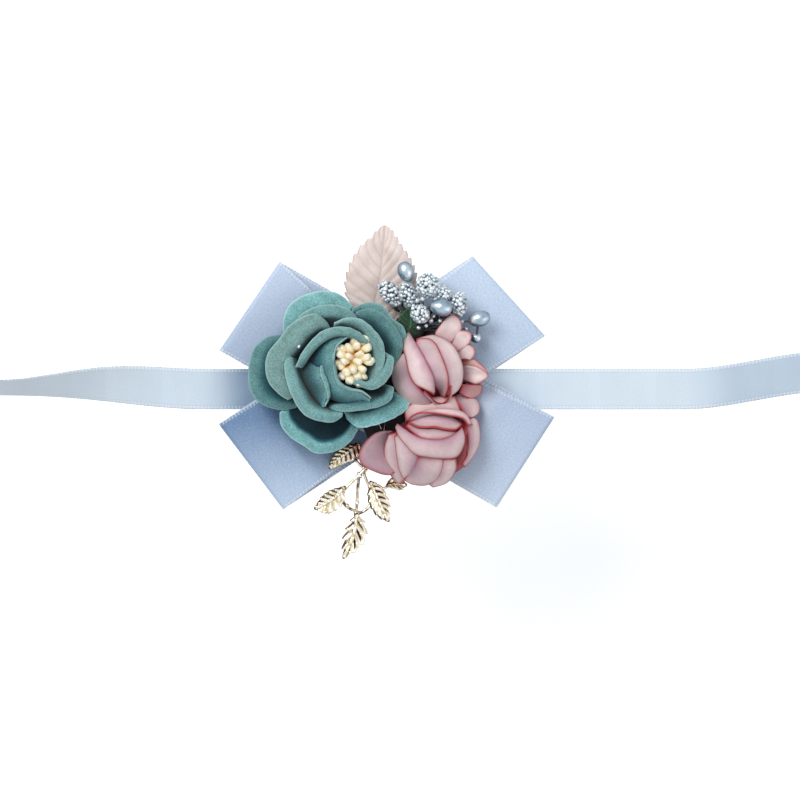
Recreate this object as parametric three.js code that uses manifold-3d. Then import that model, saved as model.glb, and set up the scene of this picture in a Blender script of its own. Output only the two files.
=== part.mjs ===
// Wrist corsage: a satin bow on a narrow wrist ribbon, with a teal rose, two pink flowers, berries and leaves.
// Millimetres, +Z up. The corsage lies on its felt pad, the flowers face up, and the ribbon runs along X.
// The origin is the centre of the pad's underside.
import * as THREE from 'three';
import { mergeVertices } from 'three/addons/utils/BufferGeometryUtils.js';
import Module from 'manifold-3d';

const wasm = await Module();
wasm.setup();

// Plan places are read from a picture taken from straight above.
const MM_PER_PX = 0.25;
const ORIGIN_PX = [381, 385];

// Gap left between neighbours, and the thickness of each sheet.
const CLEARANCE = 0.3;
const SATIN_THICKNESS = 0.4;
const SUEDE_THICKNESS = 0.7;
const PETAL_SATIN_THICKNESS = 0.45;
const LEAF_THICKNESS = 0.4;
const SHORTEST_EDGE = 0.02;
const SAME_POINT = 0.00001;

// Felt pad and glue bed.
const PAD_DIAMETER = 32;
const PAD_THICKNESS = 1.2;
const GLUE_THICKNESS = 2;

// Wrist ribbon, and the hinges that stand for its bending.
const RIBBON_WIDTH = 10;
const RIBBON_LENGTH = 340;
const RIBBON_SIDE_SHIFT = -1;
const FIRST_HINGE_X = 34;
const HINGE_SPACING = 14;
const HINGE_LIFT_DEGREES = 30;
const RIBBON_DROP_START_X = 17;
const RIBBON_DROP_END_X = 31;
const RIBBON_END_SLANT = 4;
const RIBBON_STEP = 5;

// Wide ribbons of the bow.
const BOW_RIBBON_WIDTH = 26.6;
const BOW_OPENING = 1.7;
const BOW_OVERLAP_REACH = 24;

// Flowers.
const ROSE_DIAMETER = 40;
const ROSE_HEIGHT = 17;
const ROSE_BASE_RADIUS = 6.5;
const ROSE_BASE_TOP_RADIUS = 4;
const ROSE_BASE_HEIGHT = 4.8;
const STAMEN_LENGTH = 4.8;
const STAMEN_WIDTH = 1.7;
const STAMEN_COUNT = 22;
const STAMEN_STALK_RADIUS = 2.2;
const STAMEN_SPREAD = 4.6;
const STAMEN_DOME = 1;
const STAMEN_HEAD_SHARE = 0.72;
const STAMEN_FLARE_SHARE = 2.2;
const UPPER_PINK_DIAMETER = 18.5;
const UPPER_PINK_HEIGHT = 11.5;
const LOWER_PINK_DIAMETER = 21.5;
const LOWER_PINK_HEIGHT = 12.5;
const PINK_CORE_MARGIN = 1.7;

// Berries and leaves.
const WIRE_RADIUS = 0.35;
const WRAP_RADIUS = 2.2;
const WRAP_SEAT_MARGIN = 0.3;
const WIRE_SAG = 0.5;
const LEAF_ARCH = 1.5;
const PINK_LEAF_TIP_RISE = 1.6;
const SPRIG_THICKNESS = 0.6;
const SPRIG_WIRE_RADIUS = 0.45;

// Heights of the stack under the flowers, from the pad up.
const RIBBON_Z = PAD_THICKNESS + CLEARANCE;
const LOWER_BOW_Z = RIBBON_Z + SATIN_THICKNESS + CLEARANCE;
const BOW_STACK = 2 * (SATIN_THICKNESS + CLEARANCE);
const UPPER_BOW_Z = LOWER_BOW_Z + BOW_STACK;
const GLUE_Z = UPPER_BOW_Z + BOW_STACK;
const FLOWER_Z = GLUE_Z + GLUE_THICKNESS + CLEARANCE;

// Fineness of the meshes.
const RIM_STEPS = 7;
const PROFILE_SHARES = [0, 1 / 3, 1 / 2, 2 / 3, 1];
const DRAPE_STEPS = 7;
const ACROSS_STEPS = 3;
const LEAF_STEPS = 10;
const CORE_STEPS = 6;
const BOW_LAYER_STEPS = 5;
const BOW_FOLD_STEPS = 4;
const ROUND_SIDES = 24;
const STALK_SIDES = 10;
const WIRE_SIDES = 6;
const WIRE_STEPS = 3;
const SPRIG_WIRE_STEPS = 4;
const GRAIN_RINGS = 4;
const BERRY_SIDES = 8;
const BERRY_RINGS = 5;
const WRAP_SIDES = 12;
const WRAP_RINGS = 8;

function satin(color) {
  return new THREE.MeshStandardMaterial({ color, roughness: 0.35, metalness: 0 });
}

function matte(color) {
  return new THREE.MeshStandardMaterial({ color, roughness: 0.9, metalness: 0 });
}

function metal(color) {
  return new THREE.MeshStandardMaterial({ color, roughness: 0.25, metalness: 1 });
}

function mix(a, b, share) {
  return a + (b - a) * share;
}

function fromPicture(px, z = 0) {
  const x = (px[0] - ORIGIN_PX[0]) * MM_PER_PX;
  const y = (ORIGIN_PX[1] - px[1]) * MM_PER_PX;
  return new THREE.Vector3(x, y, z);
}

function curveThrough(points) {
  return new THREE.CatmullRomCurve3(points, false, 'centripetal');
}

// Solids made from closed geometries, and geometries made from solids.
function solidOf(geometry) {
  const bare = geometry.clone();
  bare.deleteAttribute('normal');
  bare.deleteAttribute('uv');
  const merged = mergeVertices(bare, SAME_POINT);
  const mesh = new wasm.Mesh({
    numProp: 3,
    vertProperties: new Float32Array(merged.attributes.position.array),
    triVerts: new Uint32Array(merged.index.array),
  });
  mesh.merge();
  return new wasm.Manifold(mesh);
}

function geometryOf(solid) {
  const mesh = solid.getMesh();
  const geometry = new THREE.BufferGeometry();
  geometry.setAttribute('position', new THREE.BufferAttribute(mesh.vertProperties, mesh.numProp));
  geometry.setIndex(new THREE.BufferAttribute(mesh.triVerts, 1));
  geometry.computeVertexNormals();
  return geometry;
}

const corsage = new THREE.Group();
const placed = [];

function largestBody(solid) {
  const bodies = solid.decompose();
  bodies.sort((a, b) => b.volume() - a.volume());
  return bodies[0];
}

function boxesMeet(a, b) {
  const p = a.boundingBox();
  const q = b.boundingBox();
  return [0, 1, 2].every((i) => p.min[i] < q.max[i] && q.min[i] < p.max[i]);
}

// Adds a piece, cut back by the grown outlines of the pieces placed before it, so that a clearance stays.
function place(name, solid, grown, material) {
  let body = solid;
  for (const earlier of placed) {
    if (boxesMeet(body, earlier)) {
      body = largestBody(body.subtract(earlier));
    }
  }
  placed.push(grown);
  const tidied = body.asOriginal().simplify(SHORTEST_EDGE);
  const mesh = new THREE.Mesh(geometryOf(tidied), material);
  mesh.name = name;
  corsage.add(mesh);
}

// A sheet of even thickness from a grid of points, closed along its four borders.
function sheet(grid, thickness) {
  const rows = grid.length;
  const columns = grid[0].length;
  const positions = [];
  for (const side of [1, -1]) {
    for (let i = 0; i < rows; i += 1) {
      for (let j = 0; j < columns; j += 1) {
        const along = grid[Math.min(i + 1, rows - 1)][j].clone().sub(grid[Math.max(i - 1, 0)][j]);
        const across = grid[i][Math.min(j + 1, columns - 1)].clone().sub(grid[i][Math.max(j - 1, 0)]);
        const normal = along.cross(across).normalize();
        const point = grid[i][j].clone().addScaledVector(normal, (side * thickness) / 2);
        positions.push(point.x, point.y, point.z);
      }
    }
  }
  const at = (side, i, j) => side * rows * columns + i * columns + j;
  const index = [];
  const quad = (a, b, c, d) => index.push(a, b, c, a, c, d);
  for (let i = 0; i + 1 < rows; i += 1) {
    for (let j = 0; j + 1 < columns; j += 1) {
      quad(at(0, i, j), at(0, i + 1, j), at(0, i + 1, j + 1), at(0, i, j + 1));
      quad(at(1, i, j), at(1, i, j + 1), at(1, i + 1, j + 1), at(1, i + 1, j));
    }
    quad(at(1, i, 0), at(1, i + 1, 0), at(0, i + 1, 0), at(0, i, 0));
    quad(at(0, i, columns - 1), at(0, i + 1, columns - 1), at(1, i + 1, columns - 1), at(1, i, columns - 1));
  }
  for (let j = 0; j + 1 < columns; j += 1) {
    quad(at(0, 0, j), at(0, 0, j + 1), at(1, 0, j + 1), at(1, 0, j));
    quad(at(1, rows - 1, j), at(1, rows - 1, j + 1), at(0, rows - 1, j + 1), at(0, rows - 1, j));
  }
  const geometry = new THREE.BufferGeometry();
  geometry.setAttribute('position', new THREE.Float32BufferAttribute(positions, 3));
  geometry.setIndex(index);
  return geometry;
}

// The grid with its borders moved out, for the grown outline of a sheet.
function grownGrid(grid, margin) {
  const beyond = (inner, outer) => outer.clone().add(outer.clone().sub(inner).setLength(margin));
  const wide = grid.map((row) => {
    const first = beyond(row[1], row[0]);
    const last = beyond(row[row.length - 2], row[row.length - 1]);
    return [first, ...row, last];
  });
  const head = wide[0].map((point, j) => beyond(wide[1][j], point));
  const tail = wide[wide.length - 1].map((point, j) => beyond(wide[wide.length - 2][j], point));
  return [head, ...wide, tail];
}

function placeSheet(name, grid, thickness, material) {
  const solid = solidOf(sheet(grid, thickness));
  const grown = solidOf(sheet(grownGrid(grid, CLEARANCE), thickness + 2 * CLEARANCE));
  place(name, solid, grown, material);
}

// Felt pad that rests on the wrist.
function feltPad() {
  const radius = PAD_DIAMETER / 2;
  const pad = new THREE.CylinderGeometry(radius, radius, PAD_THICKNESS, 2 * ROUND_SIDES);
  pad.rotateX(Math.PI / 2);
  pad.translate(0, 0, PAD_THICKNESS / 2);
  const solid = solidOf(pad);
  place('felt_pad', solid, solid, matte('#e9ebee'));
}

// Wrist ribbon: a strip along X whose height, side place and roll are set at each station.
const ROLL_START_X = 44;
const ROLL_FULL_X = 96;
const ROLL_END_X = 130;
const ROLL_FULL_DEGREES = 68;
const ROLL_SIDE_SHARE = 0.75;
const LIFT_START_X = 76;
const LIFT_TOP_X = 112;
const LIFT_END_X = 150;
const LIFT_HEIGHT = 6;
const LIFT_SIDE_SHIFT = 4.4;

function smooth(from, to, x) {
  const share = Math.min(Math.max((x - from) / (to - from), 0), 1);
  return share * share * (3 - 2 * share);
}

function leftStation(x) {
  const rollShare = smooth(ROLL_START_X, ROLL_FULL_X, x) - smooth(ROLL_FULL_X, ROLL_END_X, x);
  const roll = THREE.MathUtils.degToRad(ROLL_FULL_DEGREES * rollShare);
  const half = RIBBON_WIDTH / 2;
  const lowerEdgeY = RIBBON_SIDE_SHIFT - half + half * Math.sin(roll) * ROLL_SIDE_SHARE;
  return { y: lowerEdgeY + half * Math.cos(roll), z: half * Math.sin(roll), roll };
}

function rightStation(x) {
  const rise = smooth(LIFT_START_X, LIFT_TOP_X, x) - smooth(LIFT_TOP_X, LIFT_END_X, x);
  return { y: RIBBON_SIDE_SHIFT + LIFT_SIDE_SHIFT * rise, z: LIFT_HEIGHT * rise, roll: 0 };
}

function centreStation(x) {
  const drop = smooth(RIBBON_DROP_START_X, RIBBON_DROP_END_X, Math.abs(x));
  return { y: RIBBON_SIDE_SHIFT, z: RIBBON_Z * (1 - drop), roll: 0 };
}

// Each end is cut back where the strip stands higher than its hinge, so that the hinge can lift it.
function ribbonGrid(side, from, to, stationAt, slant) {
  const steps = Math.ceil((to - from) / RIBBON_STEP);
  const relief = Math.tan(THREE.MathUtils.degToRad(HINGE_LIFT_DEGREES / 2));
  const grid = [];
  for (let i = 0; i <= steps; i += 1) {
    const x = mix(from, to, i / steps);
    const station = stationAt(x);
    const half = RIBBON_WIDTH / 2;
    const row = [-1, 1].map((edge) => {
      const height = station.z + edge * half * Math.sin(station.roll);
      const back = height * relief;
      const first = i === 0 ? back : 0;
      const last = i === steps ? slant * edge - back : 0;
      const y = station.y + edge * half * Math.cos(station.roll);
      return new THREE.Vector3(side * (x + first + last), y, height + SATIN_THICKNESS / 2);
    });
    grid.push(side > 0 ? row : row.reverse());
  }
  return grid;
}

function wristRibbon() {
  const material = satin('#c6d6e2');
  const gap = CLEARANCE / 2;
  const reach = FIRST_HINGE_X - gap;
  const centre = ribbonGrid(1, -reach, reach, centreStation, 0);
  placeSheet('wrist_ribbon_centre', centre, SATIN_THICKNESS, material);
  const ends = [0, 1, 2].map((i) => FIRST_HINGE_X + i * HINGE_SPACING);
  ends.push(RIBBON_LENGTH / 2 + gap);
  for (let i = 0; i < 3; i += 1) {
    const slant = i === 2 ? RIBBON_END_SLANT / 2 : 0;
    const from = ends[i] + gap;
    const to = ends[i + 1] - gap;
    const left = ribbonGrid(-1, from, to, leftStation, slant);
    const right = ribbonGrid(1, from, to, rightStation, slant);
    placeSheet(`left_ribbon_${i + 1}`, left, SATIN_THICKNESS, material);
    placeSheet(`right_ribbon_${i + 1}`, right, SATIN_THICKNESS, material);
  }
}

// Bow: each wide ribbon is pressed flat into two opposite loops, with its ends under the flowers.
// Reaches are from the middle to the fold, at the two edges of the ribbon.
const BOW_CENTRE_PX = [381, 380.5];
const LOWER_BOW = { degrees: 33.5, farPx: [144.7, 161.2], nearPx: [159.2, 152.5] };
const UPPER_BOW = { degrees: -29.5, farPx: [168.6, 162.6], nearPx: [146.4, 155.1] };
const BOW_ENDS_GAP = 3;

// Height of the upper layer over the lower one: pressed together in the middle, open towards the fold.
function bowLayerGap(s) {
  const pressed = SATIN_THICKNESS + CLEARANCE;
  return mix(pressed, BOW_OPENING, smooth(BOW_OVERLAP_REACH, BOW_RIBBON_WIDTH + BOW_OPENING, s));
}

// Points of one half of the loop path: distance from the middle along the ribbon, and height.
function bowHalfPath(reach) {
  const path = [];
  const radius = BOW_OPENING / 2;
  for (let i = 0; i <= BOW_LAYER_STEPS; i += 1) {
    const s = mix(BOW_ENDS_GAP / 2, reach - radius, i / BOW_LAYER_STEPS);
    path.push([s, bowLayerGap(s)]);
  }
  for (let i = 1; i < BOW_FOLD_STEPS; i += 1) {
    const angle = Math.PI * (0.5 - i / BOW_FOLD_STEPS);
    path.push([reach - radius + radius * Math.cos(angle), radius + radius * Math.sin(angle)]);
  }
  for (let i = BOW_LAYER_STEPS; i >= 0; i -= 1) {
    const s = ((reach - radius) * i) / BOW_LAYER_STEPS;
    path.push([s, 0]);
  }
  return path;
}

function bowRibbon(name, bow, z, material) {
  const centre = fromPicture(BOW_CENTRE_PX);
  const angle = THREE.MathUtils.degToRad(bow.degrees);
  const axis = new THREE.Vector3(Math.cos(angle), Math.sin(angle), 0);
  const across = new THREE.Vector3(-Math.sin(angle), Math.cos(angle), 0);
  const halfRows = (direction, edges) => {
    const mean = ((edges[0] + edges[1]) / 2) * MM_PER_PX;
    return bowHalfPath(mean).map(([s, height]) => {
      const row = [];
      for (let j = 0; j <= 2; j += 1) {
        const edge = j / 2;
        const reach = mix(edges[0], edges[1], edge) * MM_PER_PX;
        const point = centre.clone();
        point.addScaledVector(axis, direction * s * (reach / mean));
        point.addScaledVector(across, mix(BOW_RIBBON_WIDTH / 2, -BOW_RIBBON_WIDTH / 2, edge));
        point.z = z + SATIN_THICKNESS / 2 + height;
        row.push(point);
      }
      return row;
    });
  };
  const far = halfRows(1, bow.farPx);
  const near = halfRows(-1, bow.nearPx).reverse();
  placeSheet(name, [...far, ...near.slice(1)], SATIN_THICKNESS, material);
}

// Flowers: how their balls of petals round off, and how a cupped petal's wall and lip run.
const SHOULDER_SHARE = 0.88;
const SHOULDER_SLOPE = 1.7;
const BALL_HEIGHT_SHARE = 0.82;
const SKEW_SHARE = 0.1;
const BELLY_HEIGHT_SHARE = 0.55;
const SWELL_SHARE = 0.6;
const LIP_END_SHARE = 0.35;

// Each flower has a middle, a radius and a crown that its petals wrap round, leaning as it does in the picture.
class Flower {
  constructor({ centrePx, crownPx, spanPx, diameter, height, hollow }) {
    this.scale = diameter / spanPx;
    this.radius = diameter / 2;
    this.height = height;
    this.centrePx = centrePx;
    this.centre = fromPicture(centrePx, FLOWER_Z);
    this.crown = this.at(crownPx);
    this.hollow = hollow;
  }

  at(px) {
    const x = (px[0] - this.centrePx[0]) * this.scale;
    const y = (this.centrePx[1] - px[1]) * this.scale;
    return new THREE.Vector3(this.centre.x + x, this.centre.y + y, 0);
  }

  z(share) {
    return FLOWER_Z + this.height * share;
  }

  axisAt(z) {
    const share = (z - FLOWER_Z) / this.height;
    const x = mix(this.centre.x, this.crown.x, share);
    const y = mix(this.centre.y, this.crown.y, share);
    return new THREE.Vector3(x, y, z);
  }

  // Height share of the ball of petals at a distance from its middle, steeper outside its shoulder.
  ballShare(distance) {
    const inside = Math.min(distance, SHOULDER_SHARE);
    const top = Math.sqrt(1 - inside * inside);
    return top - Math.max(distance - SHOULDER_SHARE, 0) * SHOULDER_SLOPE;
  }

  onBall(px, lift) {
    const point = this.at(px);
    const x = (point.x - this.centre.x) / this.radius;
    const y = (point.y - this.centre.y) / this.radius;
    const up = this.ballShare(Math.hypot(x, y));
    const dx = (px[0] - this.hollow.px[0]) / this.hollow.radiusPx[0];
    const dy = (px[1] - this.hollow.px[1]) / this.hollow.radiusPx[1];
    const dip = this.hollow.depthShare * Math.exp(-dx * dx - dy * dy);
    const normal = new THREE.Vector3(x, y, Math.max(up, 0) + SKEW_SHARE).normalize();
    const ballHeight = this.height * BALL_HEIGHT_SHARE;
    const base = this.z(1 - BALL_HEIGHT_SHARE);
    point.z = base + ballHeight * (up - dip);
    return point.addScaledVector(normal, lift * this.radius);
  }
}

// A cupped petal: its rim is drawn in plan, its lip turns over a crest, and its wall runs down to the base.
function cupGrid(flower, petal) {
  const rim = curveThrough(petal.rimPx.map((px) => flower.at(px)));
  const grid = [];
  for (let i = 0; i <= RIM_STEPS; i += 1) {
    const u = i / RIM_STEPS;
    const swell = Math.sin(Math.PI * u) ** SWELL_SHARE;
    const edge = rim.getPointAt(u);
    const rimZ = flower.z(mix(petal.endShare, petal.topShare, swell));
    const axis = flower.axisAt(rimZ);
    const out = new THREE.Vector3(edge.x - axis.x, edge.y - axis.y, 0);
    const reach = out.length();
    out.normalize();
    const lip = petal.lipShare * flower.radius * mix(LIP_END_SHARE, 1, swell);
    const crestZ = rimZ + petal.riseShare * flower.height * swell;
    const crestReach = reach - lip;
    const baseZ = flower.z(petal.footShare);
    const baseReach = petal.baseShare * flower.radius;
    const bellyReach = (crestReach + baseReach) / 2 + petal.bellyShare * flower.radius;
    const stations = [
      [reach, rimZ],
      [crestReach, crestZ],
      [bellyReach, mix(baseZ, crestZ, BELLY_HEIGHT_SHARE)],
      [baseReach, baseZ],
    ];
    const profile = curveThrough(stations.map(([r, z]) => flower.axisAt(z).addScaledVector(out, r)));
    grid.push(PROFILE_SHARES.map((share) => profile.getPoint(share)));
  }
  return grid;
}

// A petal draped over the ball of a flower between its free edge and its tucked edge.
function drapedGrid(flower, petal) {
  const flat = (px) => new THREE.Vector3(px[0], px[1], 0);
  const edge = curveThrough(petal.edgePx.map(flat));
  const tuck = curveThrough(petal.tuckPx.map(flat));
  const grid = [];
  for (let i = 0; i <= DRAPE_STEPS; i += 1) {
    const u = i / DRAPE_STEPS;
    const a = edge.getPointAt(u);
    const b = tuck.getPointAt(u);
    const row = [];
    for (let j = 0; j <= ACROSS_STEPS; j += 1) {
      const v = j / ACROSS_STEPS;
      const puff = petal.puffShare * Math.sin(Math.PI * v) * Math.sin(Math.PI * u);
      const lift = mix(petal.liftShare, petal.sinkShare, v) + puff;
      row.push(flower.onBall([mix(a.x, b.x, v), mix(a.y, b.y, v)], lift));
    }
    grid.push(row);
  }
  return grid;
}

// Teal rose, from the stamens outwards. Rims are in picture pixels, the rest in shares of the rose.
const ROSE = new Flower({
  centrePx: [328, 371],
  crownPx: [354, 361],
  spanPx: 160,
  diameter: ROSE_DIAMETER,
  height: ROSE_HEIGHT,
});

const ROSE_PETALS = [
  {
    rimPx: [[348, 336], [337, 345], [333, 359], [334, 370], [339, 384], [349, 390], [363, 393], [371, 399]],
    topShare: 0.94, endShare: 0.82, lipShare: 0.03, riseShare: 0.02,
    bellyShare: 0.08, baseShare: 0.14, footShare: 0.3,
  },
  {
    rimPx: [[386, 353], [393, 359], [392, 372], [384, 384], [373, 390], [361, 387], [349, 383]],
    topShare: 0.86, endShare: 0.76, lipShare: 0.1, riseShare: 0.03,
    bellyShare: 0.06, baseShare: 0.17, footShare: 0.28,
  },
  {
    rimPx: [[335, 323], [346, 318.5], [363, 321], [375, 331], [383, 344], [385, 359], [381.5, 372], [374, 383]],
    topShare: 0.9, endShare: 0.78, lipShare: 0.04, riseShare: 0.02,
    bellyShare: 0.04, baseShare: 0.2, footShare: 0.25,
  },
  {
    rimPx: [[329, 357], [322, 365], [321, 374.5], [326, 387], [328, 398], [324, 407]],
    topShare: 0.88, endShare: 0.72, lipShare: 0.04, riseShare: 0.02,
    bellyShare: 0.08, baseShare: 0.2, footShare: 0.24,
  },
  {
    rimPx: [[296, 367], [303, 353], [315, 338], [329, 329], [345, 327.5], [358, 332], [368, 341]],
    topShare: 0.93, endShare: 0.78, lipShare: 0.09, riseShare: 0.03,
    bellyShare: 0.05, baseShare: 0.22, footShare: 0.22,
  },
  {
    rimPx: [[287, 357], [285, 366], [288, 383], [295, 401], [305, 414.5], [320, 421], [333, 422], [342, 417]],
    topShare: 0.74, endShare: 0.66, lipShare: 0.13, riseShare: 0.05,
    bellyShare: 0.05, baseShare: 0.24, footShare: 0.2,
  },
  {
    rimPx: [[328, 410], [345, 411.5], [363, 410], [381.5, 406], [391, 400], [394, 388]],
    topShare: 0.72, endShare: 0.64, lipShare: 0.1, riseShare: 0.05,
    bellyShare: 0.06, baseShare: 0.24, footShare: 0.2,
  },
  {
    rimPx: [[327, 323], [319, 315.5], [311, 314.5], [291, 325], [278.5, 341], [269, 353], [266, 365], [269, 381],
      [278, 393], [288, 400]],
    topShare: 0.62, endShare: 0.54, lipShare: 0.25, riseShare: 0.06,
    bellyShare: 0.04, baseShare: 0.26, footShare: 0.16,
  },
  {
    rimPx: [[296, 320], [307, 311], [328, 305], [346, 309], [357, 318], [362, 327]],
    topShare: 0.5, endShare: 0.43, lipShare: 0.12, riseShare: 0.05,
    bellyShare: 0.06, baseShare: 0.27, footShare: 0.14,
  },
  {
    rimPx: [[357, 312], [371, 309], [385, 316], [396, 328], [402, 342], [401.5, 353], [395, 364]],
    topShare: 0.5, endShare: 0.42, lipShare: 0.07, riseShare: 0.03,
    bellyShare: 0.07, baseShare: 0.27, footShare: 0.14,
  },
  {
    rimPx: [[347, 419], [358, 427], [375, 425], [394, 418], [408, 408], [410, 398]],
    topShare: 0.38, endShare: 0.31, lipShare: 0.12, riseShare: 0.05,
    bellyShare: 0.06, baseShare: 0.28, footShare: 0.1,
  },
  {
    rimPx: [[353, 308], [369, 302.5], [381.5, 305], [392, 318], [403, 326], [406, 336], [402, 352]],
    topShare: 0.35, endShare: 0.28, lipShare: 0.1, riseShare: 0.03,
    bellyShare: 0.06, baseShare: 0.3, footShare: 0.08,
  },
  {
    rimPx: [[280, 413], [281, 425], [291, 437.5], [305, 446], [315, 453], [327, 453], [339, 450], [351, 441],
      [358, 430]],
    topShare: 0.3, endShare: 0.23, lipShare: 0.17, riseShare: 0.05,
    bellyShare: 0.05, baseShare: 0.3, footShare: 0.06,
  },
  {
    rimPx: [[281, 335], [266, 338], [254, 349], [249, 365], [249, 383], [254, 397.5], [265, 406], [282, 410],
      [295, 408]],
    topShare: 0.3, endShare: 0.23, lipShare: 0.22, riseShare: 0.05,
    bellyShare: 0.04, baseShare: 0.32, footShare: 0.04,
  },
  {
    rimPx: [[283, 333], [284.5, 316], [291, 304], [305, 295], [324.5, 291], [339, 294], [349, 302], [356, 313]],
    topShare: 0.28, endShare: 0.21, lipShare: 0.2, riseShare: 0.05,
    bellyShare: 0.05, baseShare: 0.32, footShare: 0.03,
  },
];

function lathe(points) {
  const geometry = new THREE.LatheGeometry(points.map(([r, z]) => new THREE.Vector2(r, z)), ROUND_SIDES);
  geometry.rotateX(Math.PI / 2);
  return geometry;
}

function roseBase() {
  const profile = (margin) => [
    [0, -margin],
    [ROSE_BASE_RADIUS + margin, -margin],
    [ROSE_BASE_TOP_RADIUS + margin, ROSE_BASE_HEIGHT + margin],
    [0, ROSE_BASE_HEIGHT + margin],
  ];
  const shape = (margin) => {
    const geometry = lathe(profile(margin));
    geometry.translate(ROSE.centre.x, ROSE.centre.y, FLOWER_Z);
    return solidOf(geometry);
  };
  place('rose_base', shape(0), shape(CLEARANCE), matte('#2d4a3a'));
}

// Stamens: grains in a sunflower spiral on a dome, with their bound stalk down to the rose base.
function roseStamens() {
  const seat = ROSE.axisAt(FLOWER_Z + ROSE_BASE_HEIGHT + CLEARANCE);
  const head = ROSE.axisAt(ROSE.z(STAMEN_HEAD_SHARE));
  const direction = head.clone().sub(seat);
  const length = direction.length();
  const headRadius = STAMEN_STALK_RADIUS * STAMEN_FLARE_SHARE;
  const stalk = new THREE.CylinderGeometry(headRadius, STAMEN_STALK_RADIUS, length, STALK_SIDES);
  stalk.rotateX(Math.PI / 2);
  stalk.translate(0, 0, length / 2);
  stalk.applyMatrix4(new THREE.Matrix4().makeShear(0, 0, 0, 0, direction.x / length, direction.y / length));
  stalk.translate(seat.x, seat.y, seat.z);
  let solid = solidOf(stalk);
  const golden = Math.PI * (3 - Math.sqrt(5));
  for (let i = 0; i < STAMEN_COUNT; i += 1) {
    const spread = Math.sqrt((i + 0.5) / STAMEN_COUNT);
    const angle = i * golden;
    const grain = new THREE.SphereGeometry(STAMEN_WIDTH / 2, WIRE_SIDES, GRAIN_RINGS);
    grain.rotateX(Math.PI / 2);
    grain.scale(1, 1, STAMEN_LENGTH / STAMEN_WIDTH);
    const x = Math.cos(angle) * spread * STAMEN_SPREAD;
    const y = Math.sin(angle) * spread * STAMEN_SPREAD;
    grain.translate(head.x + x, head.y + y, head.z - spread * spread * STAMEN_DOME);
    solid = solid.add(solidOf(grain));
  }
  place('rose_stamens', solid, solid, matte('#f0d9a8'));
}

function rose() {
  roseBase();
  roseStamens();
  ROSE_PETALS.forEach((petal, i) => {
    placeSheet(`rose_petal_${i + 1}`, cupGrid(ROSE, petal), SUEDE_THICKNESS, matte('#6fa79a'));
  });
}

// Pink flowers: draped petals first, from the top of the ball down, then the cupped ones round them.
const UPPER_PINK = new Flower({
  centrePx: [429, 372],
  crownPx: [431, 374],
  spanPx: 74,
  diameter: UPPER_PINK_DIAMETER,
  height: UPPER_PINK_HEIGHT,
  hollow: { px: [439, 391], radiusPx: [6, 9], depthShare: 0.35 },
});

const UPPER_PINK_DRAPED = [
  {
    edgePx: [[409, 335], [405, 340], [405.5, 350], [408, 361], [411, 374], [416, 383], [427, 389], [433, 393]],
    tuckPx: [[411, 336], [414.5, 341.5], [420, 350.5], [427, 363], [433, 376], [434, 384], [434, 390]],
    liftShare: 0.12, sinkShare: 0.1, puffShare: 0.05,
  },
  {
    edgePx: [[418, 342], [424, 341], [430.5, 342], [435.5, 346.5], [440, 355.5], [444.5, 367], [447.5, 377],
      [447.5, 389], [444, 396]],
    tuckPx: [[414, 347], [417, 355], [423, 365], [428, 374], [432, 382], [437, 389], [441, 396]],
    liftShare: 0.09, sinkShare: 0, puffShare: 0.04,
  },
  {
    edgePx: [[416, 340], [424, 337.5], [433.5, 336], [441, 338.7], [449.5, 343.5], [455, 350], [459.5, 359],
      [462, 368], [461.5, 381], [458, 389], [450, 396]],
    tuckPx: [[418, 347], [424, 346], [430, 347], [434, 351], [436, 358], [440, 368], [443, 378], [443, 388],
      [445, 395]],
    liftShare: 0.02, sinkShare: 0, puffShare: 0.04,
  },
  {
    edgePx: [[406, 353], [399, 359], [394.5, 368], [394, 379.5], [397.5, 389], [405.5, 400.5], [414.5, 407.5],
      [426.5, 409], [432, 405]],
    tuckPx: [[413, 352], [411, 360], [412, 370], [415, 379], [420, 386], [425, 392], [431, 397], [436, 401]],
    liftShare: 0.02, sinkShare: -0.02, puffShare: 0.04,
  },
];

const UPPER_PINK_CUPPED = [
  {
    rimPx: [[436, 331], [440, 326], [446, 319], [452, 315], [458, 318], [461.5, 324.5], [461, 330]],
    topShare: 0.5, endShare: 0.36, lipShare: 0.06, riseShare: 0.04,
    bellyShare: 0.02, baseShare: 0.75, footShare: 0.3,
  },
  {
    rimPx: [[450, 330], [459.5, 330.5], [470.5, 333], [470, 341], [466, 345]],
    topShare: 0.4, endShare: 0.3, lipShare: 0.06, riseShare: 0.04,
    bellyShare: 0.02, baseShare: 0.75, footShare: 0.22,
  },
  {
    rimPx: [[460, 343], [468, 344], [473, 347], [475, 351], [472, 358], [464, 359]],
    topShare: 0.32, endShare: 0.24, lipShare: 0.06, riseShare: 0.04,
    bellyShare: 0.02, baseShare: 0.75, footShare: 0.15,
  },
  {
    rimPx: [[463, 358], [473, 359], [480, 364], [486, 370], [488, 375], [482, 380], [474, 385]],
    topShare: 0.26, endShare: 0.18, lipShare: 0.06, riseShare: 0.05,
    bellyShare: 0.02, baseShare: 0.75, footShare: 0.08,
  },
];

const LOWER_PINK = new Flower({
  centrePx: [433, 440],
  crownPx: [434, 436],
  spanPx: 86,
  diameter: LOWER_PINK_DIAMETER,
  height: LOWER_PINK_HEIGHT,
  hollow: { px: [435, 424], radiusPx: [24, 7], depthShare: 0.22 },
});

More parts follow.
